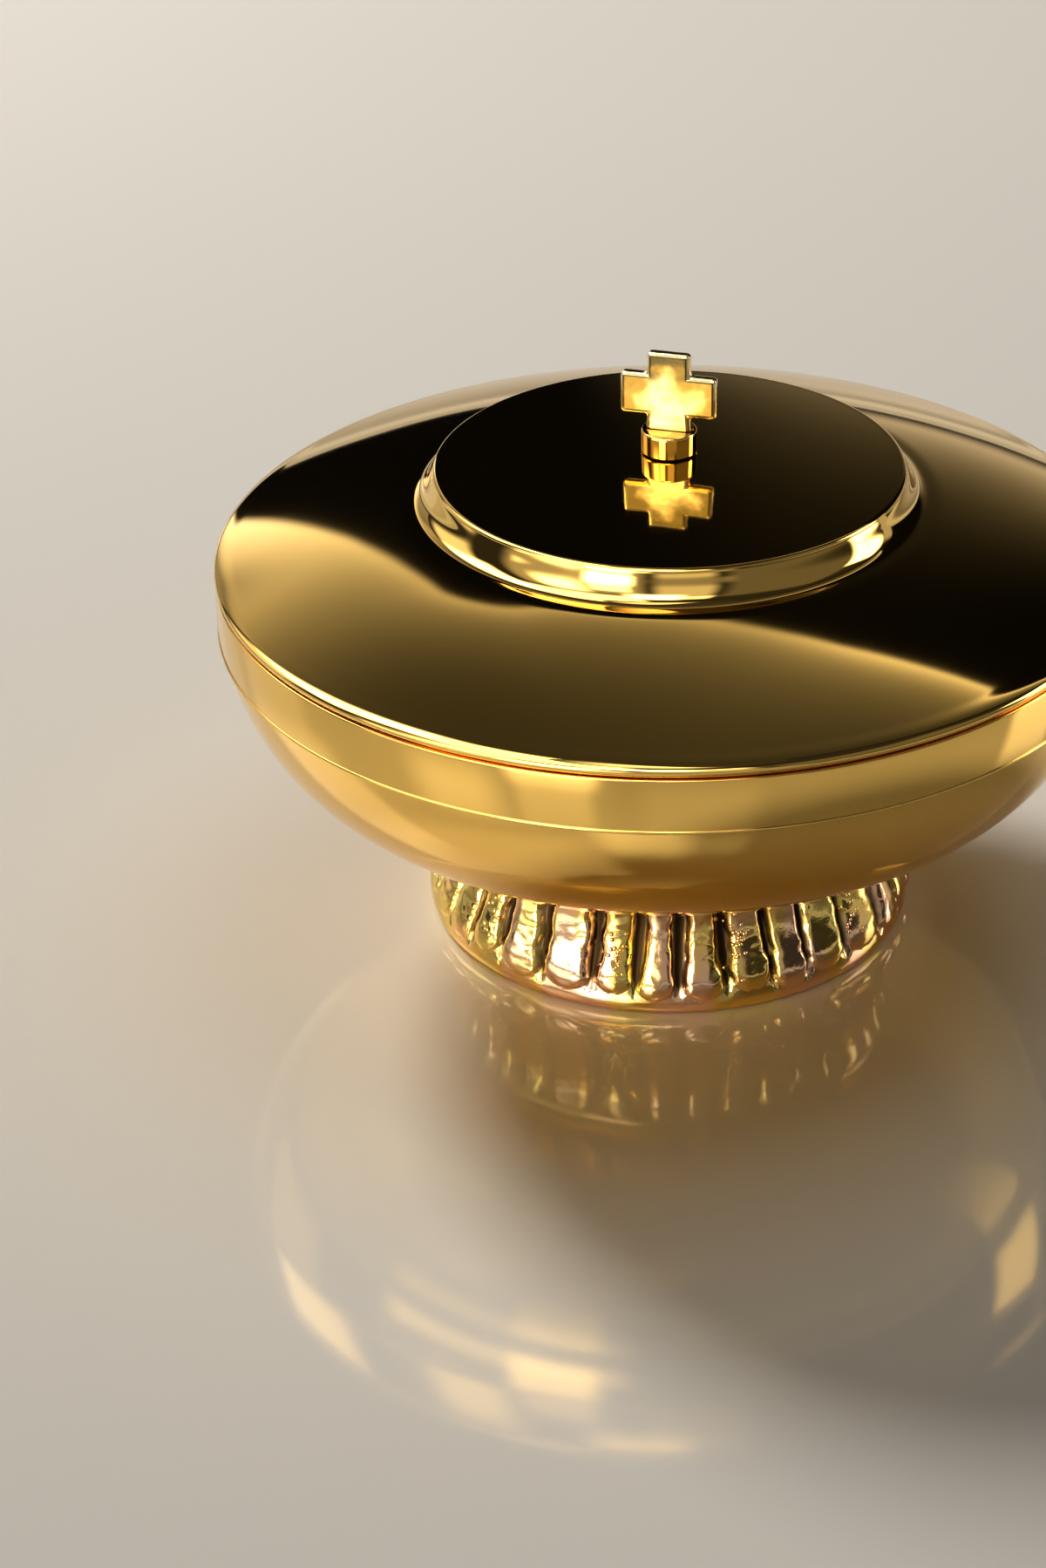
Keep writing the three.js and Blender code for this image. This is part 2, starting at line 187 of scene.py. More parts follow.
def pale_acrylic():
    material, tree = new_material("pale cast acrylic board")
    place = add_node(tree, "ShaderNodeTexCoord").outputs["Object"]
    haze = add_node(
        tree, "ShaderNodeTexNoise", {"Vector": place, "Scale": 1 / FLOOR_HAZE, "Detail": 3.0}
    ).outputs["Fac"]
    rough = add_node(
        tree,
        "ShaderNodeMapRange",
        {"Value": haze, "To Min": FLOOR_ROUGHNESS[0], "To Max": FLOOR_ROUGHNESS[1]},
    ).outputs["Result"]
    board = add_node(
        tree,
        "ShaderNodeBsdfPrincipled",
        {"Base Color": linear(FLOOR_COLOUR), "Roughness": rough, "IOR": ACRYLIC_IOR},
    ).outputs["BSDF"]
    reach = add_node(tree, "ShaderNodeVectorMath", {0: place}, operation="LENGTH").outputs["Value"]
    far = add_node(
        tree,
        "ShaderNodeMapRange",
        {"Value": reach, "From Min": FAR_FLOOR[0], "From Max": FAR_FLOOR[1]},
        interpolation_type="SMOOTHSTEP",
    ).outputs["Result"]
    glow = add_node(
        tree,
        "ShaderNodeEmission",
        {"Color": linear(FLOOR_COLOUR), "Strength": FAR_FLOOR_BRIGHTNESS},
    ).outputs["Emission"]
    path = add_node(tree, "ShaderNodeLightPath").outputs
    seen = add_node(
        tree, "ShaderNodeMath", {0: path["Is Camera Ray"], 1: path["Is Glossy Ray"]}, operation="ADD"
    ).outputs[0]
    seen = add_node(
        tree, "ShaderNodeMath", {0: seen, 1: path["Is Transmission Ray"]}, operation="ADD", use_clamp=True
    ).outputs[0]
    share = add_node(tree, "ShaderNodeMath", {0: seen, 1: far}, operation="MULTIPLY").outputs[0]
    both = add_node(tree, "ShaderNodeMixShader", {0: share, 1: board, 2: glow}).outputs["Shader"]
    add_node(tree, "ShaderNodeOutputMaterial", {"Surface": both})
    return material


def stage_object(name, points, faces, material):
    mesh = bpy.data.meshes.new(name)
    mesh.from_pydata(points, [], faces)
    mesh.materials.append(material)
    thing = bpy.data.objects.new(name, mesh)
    bpy.context.scene.collection.objects.link(thing)
    return thing


end = FLOOR_HALF_WIDTH
floor_corners = [(-end, -end, 0), (end, -end, 0), (end, end, 0), (-end, end, 0)]
stage_object("studio_floor", floor_corners, [(0, 1, 2, 3)], pale_acrylic())


def studio_sky():
    world = bpy.data.worlds.new("studio sky")
    world.use_nodes = True
    tree = world.node_tree
    tree.nodes.clear()
    place = add_node(tree, "ShaderNodeTexCoord").outputs["Generated"]
    height = add_node(tree, "ShaderNodeSeparateXYZ", {"Vector": place}).outputs["Z"]
    fade = add_node(
        tree,
        "ShaderNodeMapRange",
        {
            "Value": height,
            "From Min": CEILING_FADE[0],
            "From Max": CEILING_FADE[1],
            "To Min": FAR_WALL_BRIGHTNESS,
            "To Max": CEILING_BRIGHTNESS,
        },
        interpolation_type="SMOOTHSTEP",
    ).outputs["Result"]
    sky = add_node(
        tree, "ShaderNodeBackground", {"Color": linear(FAR_WALL_COLOUR), "Strength": fade}
    ).outputs["Background"]
    add_node(tree, "ShaderNodeOutputWorld", {"Surface": sky})
    bpy.context.scene.world = world


studio_sky()
print("floor and sky made")

# %% Tent cloth
# The radius is in metres and the step, from point to point of the cloth, in degrees.
TENT_RADIUS = 5
TENT_STEP = 1
LIGHT_COLOUR = "#fff8ee"


def glowing_cloth():
    """Light cloth whose brightness is stored at each point of the wall."""
    material, tree = new_material("lit diffusion cloth")
    glow = add_node(tree, "ShaderNodeAttribute", attribute_name="glow").outputs["Fac"]
    light = add_node(
        tree, "ShaderNodeEmission", {"Color": linear(LIGHT_COLOUR), "Strength": glow}
    ).outputs["Emission"]
    add_node(tree, "ShaderNodeOutputMaterial", {"Surface": light})
    return material


diffusion_cloth = glowing_cloth()


def tent_wall(name, sides, heights, glow_at, radius=TENT_RADIUS, step=TENT_STEP):
    """Part of a sphere round the cover between two side angles and two height angles."""
    across = max(2, round((sides[1] - sides[0]) / step))
    up = max(2, round((heights[1] - heights[0]) / step))
    points, glow, faces = [], [], []
    for i in range(up + 1):
        for j in range(across + 1):
            side = sides[0] + (sides[1] - sides[0]) * j / across
            height = heights[0] + (heights[1] - heights[0]) * i / up
            points.append(tuple(cover_centre + direction(side, height) * radius))
            glow.append(glow_at(side, height))
    for i in range(up):
        for j in range(across):
            corner = i * (across + 1) + j
            faces.append((corner, corner + 1, corner + across + 2, corner + across + 1))
    wall = stage_object(name, points, faces, diffusion_cloth)
    stored = wall.data.attributes.new("glow", "FLOAT", "POINT")
    stored.data.foreach_set("value", glow)
    wall.visible_camera = False
    wall.visible_diffuse = False
    print(name, "has", len(faces), "faces")


def soft_step(value, low, high):
    share = min(max((value - low) / (high - low), 0), 1)
    return share * share * (3 - 2 * share)


def soft_window(value, low, high, softness):
    """1 between low and high, and 0 outside, with soft steps."""
    return soft_step(value, low, low + softness) * (1 - soft_step(value, high - softness, high))


print("one kind of cloth:", diffusion_cloth.name)

# %% [markdown]
# Behind the vessel hangs black cloth, and the light wall shows over it and left of it. On the cover
# the cloth is the dark arch, and the wall is the gold round it, brightest along the cloth's edge and
# low at the left.

# %% Wall behind and above
# Angles are in degrees. The cloth hangs highest at its crest and sags to both sides.
CLOTH_TOP = 54
CLOTH_CREST = 167
CLOTH_HALF_WIDTH = 26
CLOTH_SAG_RIGHT = 6.5
CLOTH_SAG_LEFT = 4
CLOTH_SIDE = 202
CLOTH_CORNER = 6
CLOTH_BLEND = (-0.8, 0.2)
CLOTH_BRIGHTNESS = 0.003
WALL_BRIGHTNESS = 0.045
WALL_FOOT = (1, 5)
LOW_LEFT_BRIGHTNESS = 1.35
LOW_LEFT_SIDES = (184, 204)
LOW_LEFT_TOP = 8
LOW_LEFT_FADE = 20
LOW_LEFT_DIP = 0.8
LOW_LEFT_DIP_SIDES = (203, 211)
LOW_LEFT_DIP_TOP = (20, 30)
# Each of these glows is its brightness at the cloth's edge and the angle over which it fades.
EDGE_GLOWS = ((0.35, 1.2), (0.28, 6))
RIGHT_EDGE_GLOW = (0.6, 1.5)
RIGHT_EDGE_SIDES = (150, 172)
# A low glow at the far right of the cloth, and how fast it falls with each degree of height.
FAR_RIGHT_BRIGHTNESS = 1.03
FAR_RIGHT_FALL = 0.145
FAR_RIGHT_WINDOW = (148, 184, 14)


def outside_cloth(side, height):
    """Degrees from the black cloth to this direction. Below 0 the cloth hangs there."""
    sag = CLOTH_SAG_RIGHT if side < CLOTH_CREST else CLOTH_SAG_LEFT
    top = CLOTH_TOP - sag * ((side - CLOTH_CREST) / CLOTH_HALF_WIDTH) ** 2
    past_side, past_top = side - CLOTH_SIDE + CLOTH_CORNER, height - top + CLOTH_CORNER
    if past_side > 0 and past_top > 0:
        return math.hypot(past_side, past_top) - CLOTH_CORNER
    return max(past_side, past_top) - CLOTH_CORNER


def fading(gap, brightness, reach):
    return brightness * math.exp(-gap / reach)


def low_left_glow(side, height):
    above = max(height, LOW_LEFT_TOP) - LOW_LEFT_TOP
    glow = LOW_LEFT_BRIGHTNESS * soft_step(side, *LOW_LEFT_SIDES)
    glow *= math.exp(-((above / LOW_LEFT_FADE) ** 2))
    dip = LOW_LEFT_DIP * soft_step(side, *LOW_LEFT_DIP_SIDES) * (1 - soft_step(height, *LOW_LEFT_DIP_TOP))
    return glow * (1 - dip)


def wall_glow(side, height):
    outside = outside_cloth(side, height)
    gap = max(outside, 0)
    edge = sum(fading(gap, *glow) for glow in EDGE_GLOWS)
    right_edge = fading(gap, *RIGHT_EDGE_GLOW) * (1 - soft_step(side, *RIGHT_EDGE_SIDES))
    wall = WALL_BRIGHTNESS + low_left_glow(side, height) + edge + right_edge
    far_right = FAR_RIGHT_BRIGHTNESS * math.exp(-FAR_RIGHT_FALL * height)
    far_right *= soft_window(side, *FAR_RIGHT_WINDOW)
    cloth = CLOTH_BRIGHTNESS + far_right
    return (cloth + (wall - cloth) * soft_step(outside, *CLOTH_BLEND)) * soft_step(height, *WALL_FOOT)


tent_wall("wall_behind", sides=(118, 228), heights=(1, 87), glow_at=wall_glow, step=TENT_STEP / 2.5)

# %% [markdown]
# The wall in front is dim, with soft lights on it: most of them at the left, and a narrow one on the
# right. They make the crescent on the cover's step, the white line along its edge and the lit strips
# of the foot. The hot one high over the camera is the brightest, for the middle of the crescent and
# of the line. The low one left of the camera comes next: the flat front of the cross shows it.

# %% Wall in front and the roof
ROOM_DIMNESS = 0.03
ROOF_RADIUS = 4.7
ROOF_BRIGHTNESS = 0.045
ROOF_LIGHT = 2.5
ROOF_LIGHT_WINDOW = (-150, 50, 30)
ROOF_LIGHT_HEIGHTS = (76, 86)
# Each light is its brightness, then from side angle, to side angle and softness, and the same three
# for the height angle.
FRONT_LIGHTS = {
    "large box at the left": (1.3, (-134, -98, 8), (3, 50, 8)),
    "hot box over the large one": (6.0, (-136, -90, 10), (26, 66, 10)),
    "fill at the front left": (0.5, (-84, -8, 10), (5, 50, 8)),
    "high box at the front left": (5.5, (-72, -36, 14), (16, 52, 14)),
    "low box left of the camera": (9.0, (-42, -14, 6), (1, 26, 6)),
    "wide box low at the left": (4.5, (-78, -6, 8), (1, 14, 4)),
    "dimmer top of the low box": (3.4, (-40, -16, 5), (20, 40, 5)),
    "strip over the left": (3.8, (-134, -16, 12), (48, 84, 10)),
    "broad box over the camera": (0.8, (-10, 26, 8), (18, 52, 8)),
    "hot box high over the camera": (12.0, (-27, 12, 12), (39, 67, 12)),
    "fainter box beside it": (3.0, (3, 28, 7), (46, 64, 7)),
    "beige card below the camera": (0.35, (-14, 34, 8), (1, 22, 4)),
    "fill at the front right": (0.13, (24, 98, 10), (8, 60, 10)),
    "narrow box at the right": (7.0, (90, 112, 4), (2, 34, 5)),
}


def front_glow(side, height):
    glow = ROOM_DIMNESS
    for brightness, sides, heights in FRONT_LIGHTS.values():
        glow += brightness * soft_window(side, *sides) * soft_window(height, *heights)
    return glow


def roof_glow(side, height):
    light = ROOF_LIGHT * soft_window(side, *ROOF_LIGHT_WINDOW) * soft_step(height, *ROOF_LIGHT_HEIGHTS)
    return ROOF_BRIGHTNESS + light


tent_wall("wall_in_front", sides=(-136, 112), heights=(1, 84), glow_at=front_glow)
tent_wall("roof", sides=(-180, 180), heights=(76, 90), glow_at=roof_glow, radius=ROOF_RADIUS)
print("lights on the front wall:", len(FRONT_LIGHTS))

# %% [markdown]
# The floor has lamps of its own. One at the back left lifts it to a pale tone and throws the vessel's
# soft shadow to the front right. A weaker one overhead keeps that shadow open.

# %% Floor lamps
def floor_lamp(name, side, height, distance, size, power):
    data = bpy.data.lights.new(name, "AREA")
    data.shape = "DISK"
    data.size = size
    data.energy = power
    data.color = linear(LIGHT_COLOUR)[:3]
    lamp = bpy.data.objects.new(name, data)
    bpy.context.scene.collection.objects.link(lamp)
    place = cover_centre + direction(side, height) * distance
    turn = (cover_centre - place).to_track_quat("-Z", "Y")
    lamp.matrix_world = Matrix.Translation(place) @ turn.to_matrix().to_4x4()
    lamp.visible_camera = False
    lamp.visible_glossy = False
    print(name, "of", power, "W at", distance, "m")


floor_lamp("lamp_back_left", side=-143, height=33, distance=1.8, size=0.48, power=33)
floor_lamp("lamp_overhead", side=150, height=72, distance=1.3, size=1.1, power=4)

# %% [markdown]
# ## Gold plate on brass
#
# Every outer part is brass under a few thousandths of a millimetre of gold. Gold has no diffuse
# colour: its base colour is the tint of its mirror image, a warm yellow, and the metallic value is 1.
# The parts differ in the surface under the plating. The spun parts were buffed, which leaves a mirror
# with faint wiping marks and a very slight waviness from the spinning tool. The shader shows both:
# the roughness varies over a few centimetres, and the bump has waves of about 15 mm that bend a
# straight reflection by a fraction of a degree. All metals here end alike, so one function ends them.

# %% Mirror-polished gold plate
GOLD = "#f6cd70"
GOLD_DEEP = "#f0c264"
POLISHED_ROUGHNESS = (0.03, 0.07)
WIPING_LENGTH = 30 * MM
SPINNING_WAVE = 15 * MM
SPINNING_WAVE_HEIGHT = 0.02 * MM


def end_as_metal(tree, tint, rough, normal):
    metal = add_node(
        tree,
        "ShaderNodeBsdfPrincipled",
        {"Base Color": tint, "Metallic": 1.0, "Roughness": rough, "Normal": normal},
    ).outputs["BSDF"]
    add_node(tree, "ShaderNodeOutputMaterial", {"Surface": metal})


def polished_gold():
    material, tree = new_material("mirror-polished gold plate on spun brass")
    place = add_node(tree, "ShaderNodeTexCoord").outputs["Object"]
    wiping = add_node(
        tree, "ShaderNodeTexNoise", {"Vector": place, "Scale": 1 / WIPING_LENGTH, "Detail": 5.0}
    ).outputs["Fac"]
    tint = add_node(
        tree,
        "ShaderNodeMix",
        {0: wiping, 6: linear(GOLD_DEEP), 7: linear(GOLD)},
        data_type="RGBA",
    ).outputs[2]
    rough = add_node(
        tree,
        "ShaderNodeMapRange",
        {"Value": wiping, "To Min": POLISHED_ROUGHNESS[0], "To Max": POLISHED_ROUGHNESS[1]},
    ).outputs["Result"]
    waves = add_node(
        tree, "ShaderNodeTexNoise", {"Vector": place, "Scale": 1 / SPINNING_WAVE, "Detail": 1.0}
    ).outputs["Fac"]
    bump = add_node(
        tree, "ShaderNodeBump", {"Height": waves, "Strength": 1.0, "Distance": SPINNING_WAVE_HEIGHT}
    ).outputs["Normal"]
    end_as_metal(tree, tint, rough, bump)
    return material


spun_gold = polished_gold()
print("material:", spun_gold.name)

# %% [markdown]
# The foot was cast, then worked with a hammer and a punch. Its strips carry painted reflections:
# tints from a greenish to a pinkish gold, which stand in for the coloured mirror images on them. One
# noise of about 8 mm, the width of a lobe, chooses between the tints, stretched upright as the strips are.
# The hammer's marks are shallow dents of 2.2 mm. A finer noise pits the surface at half a millimetre,
# which is as coarse as it needs to be to show from 0.65 m. The grooves between the lobes get painted
# shade: a dark brown tint, with a duller surface, and an attribute called recess, which the foot's own
# cell stores, says where.

# %% Hammered gold plate
# Painted reflections: these two tints stand in for the greenish and pinkish mirror images on the strips.
GREENISH_REFLECTION_TINT = "#e6cc74"
PINKISH_REFLECTION_TINT = "#f3c49a"
# Painted shade: the grooves between the lobes are tinted this dark brown.
RECESS_PAINTED_SHADE = "#2e2010"
LOBE_WIDTH = 8 * MM
LOBE_STRETCH = 0.15
# The noise takes these tints at these values, and blends them in between.
GREENISH_STOP = 0.32
GOLD_STOP = 0.44
PINKISH_STOP = 0.56
HAMMER_MARK = 2.2 * MM
HAMMER_MARK_DEPTH = 0.02 * MM
CASTING_PIT = 0.5 * MM
CASTING_PIT_DEPTH = 0.02 * MM
HAMMERED_ROUGHNESS = (0.04, 0.17)
RECESS_EXTRA_ROUGHNESS = 0.3


def hammered_gold():
    material, tree = new_material("gold plate on hammered cast brass")
    place = add_node(tree, "ShaderNodeTexCoord").outputs["Object"]
    upright = add_node(
        tree, "ShaderNodeMapping", {"Vector": place, "Scale": (1.0, 1.0, LOBE_STRETCH)}
    ).outputs["Vector"]
    patches = add_node(
        tree, "ShaderNodeTexNoise", {"Vector": upright, "Scale": 1 / LOBE_WIDTH, "Detail": 2.0}
    ).outputs["Fac"]
    # Painted reflections: the ramp spreads the two reflection tints over the strips at random.
    ramp = add_node(tree, "ShaderNodeValToRGB", {"Fac": patches})
    greenish, pinkish = ramp.color_ramp.elements
    greenish.position, greenish.color = GREENISH_STOP, linear(GREENISH_REFLECTION_TINT)
    pinkish.position, pinkish.color = PINKISH_STOP, linear(PINKISH_REFLECTION_TINT)
    ramp.color_ramp.elements.new(GOLD_STOP).color = linear(GOLD)
    marks = add_node(
        tree,
        "ShaderNodeTexVoronoi",
        {"Vector": place, "Scale": 1 / HAMMER_MARK, "Smoothness": 0.6},
        feature="SMOOTH_F1",
    ).outputs["Distance"]
    pits = add_node(
        tree, "ShaderNodeTexNoise", {"Vector": place, "Scale": 1 / CASTING_PIT, "Detail": 2.0}
    ).outputs["Fac"]
    hammered = add_node(
        tree, "ShaderNodeBump", {"Height": marks, "Strength": 1.0, "Distance": HAMMER_MARK_DEPTH}
    ).outputs["Normal"]
    pitted = add_node(
        tree,
        "ShaderNodeBump",
        {"Height": pits, "Strength": 0.6, "Distance": CASTING_PIT_DEPTH, "Normal": hammered},
    ).outputs["Normal"]
    recess = add_node(tree, "ShaderNodeAttribute", attribute_name="recess").outputs["Fac"]
    # Painted shade: where the recess attribute says, the tint turns dark brown.
    tint = add_node(
        tree,
        "ShaderNodeMix",
        {0: recess, 6: ramp.outputs["Color"], 7: linear(RECESS_PAINTED_SHADE)},
        data_type="RGBA",
    ).outputs[2]
    fine_rough = add_node(
        tree,
        "ShaderNodeMapRange",
        {"Value": pits, "To Min": HAMMERED_ROUGHNESS[0], "To Max": HAMMERED_ROUGHNESS[1]},
    ).outputs["Result"]
    rough = add_node(
        tree,
        "ShaderNodeMath",
        {0: recess, 1: RECESS_EXTRA_ROUGHNESS, 2: fine_rough},
        operation="MULTIPLY_ADD",
    ).outputs[0]
    end_as_metal(tree, tint, rough, pitted)
    return material


foot_gold = hammered_gold()
print("material:", foot_gold.name)

# %% [markdown]
# The little cross is a casting too, but a filed one: broad, soft dents of about 4 mm stay under the
# plating and mirror the studio in patches. Away from a clean spot low on its middle, towards the ends
# of the arms, where fingers take hold of it, the plating has gone olive brown in clouds of about
# 5 mm. Both make its face look mottled. The edges are rubbed bright, so the clouds only lie where the
# surface faces front or back.

# %% Filed gold plate
PALE_GOLD = "#fdeec2"
CLEAN_GOLD = "#fadc98"
TARNISH = "#4b431f"
FILED_DENT = 4 * MM
FILED_DENT_DEPTH = 0.07 * MM
FILE_MARK = 0.35 * MM
FILE_MARK_DEPTH = 0.01 * MM
FILED_ROUGHNESS = (0.1, 0.2)
TARNISH_CLOUD = 5 * MM
TARNISH_REACH = 17 * MM
TARNISH_START = 7 * MM
TARNISH_END = 16.5 * MM
TARNISH_MOST = 0.95
CLEAN_SPOT_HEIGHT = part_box("finial_cross")[0].z + 5.0 * MM
# The tarnish sets in between these shares of depth in the outward direction. A flat face has 1.
FACE_DEPTH_SHARE = (0.8, 0.97)


def filed_gold():
    material, tree = new_material("gold plate on filed cast brass")
    place = add_node(tree, "ShaderNodeTexCoord").outputs["Object"]
    dents = add_node(
        tree, "ShaderNodeTexNoise", {"Vector": place, "Scale": 1 / FILED_DENT, "Detail": 1.5}
    ).outputs["Fac"]
    file_marks = add_node(
        tree, "ShaderNodeTexNoise", {"Vector": place, "Scale": 1 / FILE_MARK, "Detail": 2.0}
    ).outputs["Fac"]
    dented = add_node(
        tree, "ShaderNodeBump", {"Height": dents, "Strength": 1.0, "Distance": FILED_DENT_DEPTH}
    ).outputs["Normal"]
    marked = add_node(
        tree,
        "ShaderNodeBump",
        {"Height": file_marks, "Strength": 0.5, "Distance": FILE_MARK_DEPTH, "Normal": dented},
    ).outputs["Normal"]
    clean = add_node(
        tree, "ShaderNodeMix", {0: dents, 6: linear(CLEAN_GOLD), 7: linear(PALE_GOLD)}, data_type="RGBA"
    ).outputs[2]
    middle = add_node(
        tree, "ShaderNodeVectorMath", {0: place, 1: (0, 0, CLEAN_SPOT_HEIGHT)}, operation="DISTANCE"
    ).outputs["Value"]
    clouds = add_node(
        tree, "ShaderNodeTexNoise", {"Vector": place, "Scale": 1 / TARNISH_CLOUD, "Detail": 2.5}
    ).outputs["Fac"]
    cloud_reach = add_node(
        tree, "ShaderNodeMath", {0: clouds, 1: TARNISH_REACH, 2: middle}, operation="MULTIPLY_ADD"
    ).outputs[0]
    tarnish = add_node(
        tree,
        "ShaderNodeMapRange",
        {
            "Value": cloud_reach,
            "From Min": TARNISH_START,
            "From Max": TARNISH_END,
            "To Max": TARNISH_MOST,
        },
        interpolation_type="SMOOTHSTEP",
    ).outputs["Result"]
    outward = add_node(tree, "ShaderNodeTexCoord").outputs["Normal"]
    depth_share = add_node(tree, "ShaderNodeSeparateXYZ", {"Vector": outward}).outputs["Y"]
    depth_share = add_node(tree, "ShaderNodeMath", {0: depth_share}, operation="ABSOLUTE").outputs[0]
    flat_face = add_node(
        tree,
        "ShaderNodeMapRange",
        {"Value": depth_share, "From Min": FACE_DEPTH_SHARE[0], "From Max": FACE_DEPTH_SHARE[1]},
    ).outputs["Result"]
    tarnish = add_node(tree, "ShaderNodeMath", {0: tarnish, 1: flat_face}, operation="MULTIPLY").outputs[0]
    tint = add_node(
        tree, "ShaderNodeMix", {0: tarnish, 6: clean, 7: linear(TARNISH)}, data_type="RGBA"
    ).outputs[2]
    rough = add_node(
        tree,
        "ShaderNodeMapRange",
        {"Value": file_marks, "To Min": FILED_ROUGHNESS[0], "To Max": FILED_ROUGHNESS[1]},
    ).outputs["Result"]
    end_as_metal(tree, tint, rough, marked)
    return material


cross_gold = filed_gold()
print("material:", cross_gold.name)

# %% [markdown]
# The studs, washers, nuts and the clamp plate are bare brass from the lathe. They never show in the
# photograph, but they do when the cover is off or the foot is seen from below. Turning leaves rings
# 0.3 mm apart round the axis, and bare brass goes a little brown.

# %% Turned bare brass
BRASS = "#d6b56c"
BROWNED_BRASS = "#a98446"
BROWNING_CLOUD = 6 * MM
TURNED_ROUGHNESS = (0.25, 0.45)
TURNING_PITCH = 0.3 * MM
TURNING_DEPTH = 0.01 * MM
# The wave texture repeats after this length when its scale is 1.
WAVE_LENGTH = 0.314


def turned_brass():
    material, tree = new_material("turned bare brass")
    place = add_node(tree, "ShaderNodeTexCoord").outputs["Object"]
    rings = add_node(
        tree,
        "ShaderNodeTexWave",
        {"Vector": place, "Scale": WAVE_LENGTH / TURNING_PITCH, "Distortion": 0.4, "Detail": 1.0},
        wave_type="RINGS",
        rings_direction="Z",
    ).outputs["Fac"]
    clean = add_node(
        tree, "ShaderNodeTexNoise", {"Vector": place, "Scale": 1 / BROWNING_CLOUD, "Detail": 5.0}
    ).outputs["Fac"]
    tint = add_node(
        tree, "ShaderNodeMix", {0: clean, 6: linear(BROWNED_BRASS), 7: linear(BRASS)}, data_type="RGBA"
    ).outputs[2]
    rough = add_node(
        tree,
        "ShaderNodeMapRange",
        {"Value": clean, "To Min": TURNED_ROUGHNESS[0], "To Max": TURNED_ROUGHNESS[1]},
    ).outputs["Result"]
    bump = add_node(
        tree, "ShaderNodeBump", {"Height": rings, "Strength": 0.5, "Distance": TURNING_DEPTH}
    ).outputs["Normal"]
    end_as_metal(tree, tint, rough, bump)
    return material


bare_brass = turned_brass()
print("material:", bare_brass.name)

# %% [markdown]
# ## Turned shapes
#
# A spun or turned part is one outline, swept round the axis. The solid model does this in 56 steps,
# which is plenty for its size but shows as flats in a mirror. So each polished part is swept again,
# from the same curves, in 360 steps and with many more points along its outline. A mirror also shows
# where the shading turns too quickly, so the outline gets its points where it curves most.

# %% Outline tools
ROUND_STEPS = 360


def bezier(start, pull_out, pull_in, end, steps):
    t = np.linspace(0, 1, steps + 1)[:, None]
    start, pull_out, pull_in, end = (np.array(p, float) for p in (start, pull_out, pull_in, end))
    curve = (1 - t) ** 3 * start + 3 * (1 - t) ** 2 * t * pull_out
    curve += 3 * (1 - t) * t**2 * pull_in
    return [tuple(p) for p in curve + t**3 * end]


def quarter(start, end, steps):
    """Quarter of an ellipse that starts upright and ends level."""
    turns = np.linspace(0, math.pi / 2, steps + 1)
    return [
        (end[0] + (start[0] - end[0]) * math.cos(t), start[1] + (end[1] - start[1]) * math.sin(t))
        for t in turns
    ]


def cap_height(sphere_radius, cap_radius, radius):
    """How far a sphere stands above the level at which its cap ends."""
    return math.sqrt(sphere_radius**2 - radius**2) - math.sqrt(sphere_radius**2 - cap_radius**2)


print("steps round a polished part:", ROUND_STEPS)

# %% From an outline to a piece
SHARP_ANGLE = 35
ON_AXIS = 1e-6


def swept_rings(outline, steps):
    """Points and faces of a closed outline swept round the axis. A point on the axis stays single."""
    turns = np.arange(steps) * 2 * math.pi / steps
    points, starts = [], []
    for radius, height in outline:
        starts.append((len(points), radius > ON_AXIS))
        if radius > ON_AXIS:
            points.extend((radius * math.sin(t), -radius * math.cos(t), height) for t in turns)
        else:
            points.append((0.0, 0.0, height))
    faces = []
    for i, (first, round_first) in enumerate(starts):
        second, round_second = starts[(i + 1) % len(starts)]
        if not round_first and not round_second:
            continue
        for j in range(steps):
            k = (j + 1) % steps
            face = [first + j, first + k] if round_first else [first]
            face += [second + k, second + j] if round_second else [second]
            faces.append(face)
    return points, faces


def make_piece(name, points, faces, material, sharp_angle=SHARP_ANGLE):
    mesh = bpy.data.meshes.new(name)
    mesh.from_pydata((np.array(points) * MM).tolist(), [], faces)
    work = bmesh.new()
    work.from_mesh(mesh)
    bmesh.ops.recalc_face_normals(work, faces=work.faces)
    work.to_mesh(mesh)
    work.free()
    mesh.shade_smooth()
    mesh.set_sharp_from_angle(angle=math.radians(sharp_angle))
    mesh.materials.append(material)
    piece = bpy.data.objects.new(name, mesh)
    bpy.context.scene.collection.objects.link(piece)
    return piece


def turned_piece(name, outline, material, steps=ROUND_STEPS):
    return make_piece(name, *swept_rings(outline, steps), material)


def stand_for(piece, node):
    """The piece replaces a solid node and rides on the body that carries that node."""
    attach(piece, frame["nodes"][node]["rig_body"])
    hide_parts(node)
    print(piece.name, "has", len(piece.data.polygons), "faces and replaces", node)


print("edges sharper than", SHARP_ANGLE, "degrees stay crisp")

# %% [markdown]
# ## The cover
#
# The cover is one sheet, spun over a wooden form. Its rim is rolled to an edge 2 mm thick, which was
# buffed so long that its upper corner is broad and soft: that is the white line along the front. From
# there it rises as part of a large sphere, then a short hollow curve lifts it to a raised disc, which
# ends in a crisp shoulder. The crescent of light in the photograph is that hollow curve, which looks
# towards the lights in front while all round it looks at the dark behind. Just below it the spinning
# tool left the sheet a little flatter, so a dark line runs under the crescent.
#
# A pure lathe sweep is the right tool. A subdivision surface would round the crisp shoulder off.

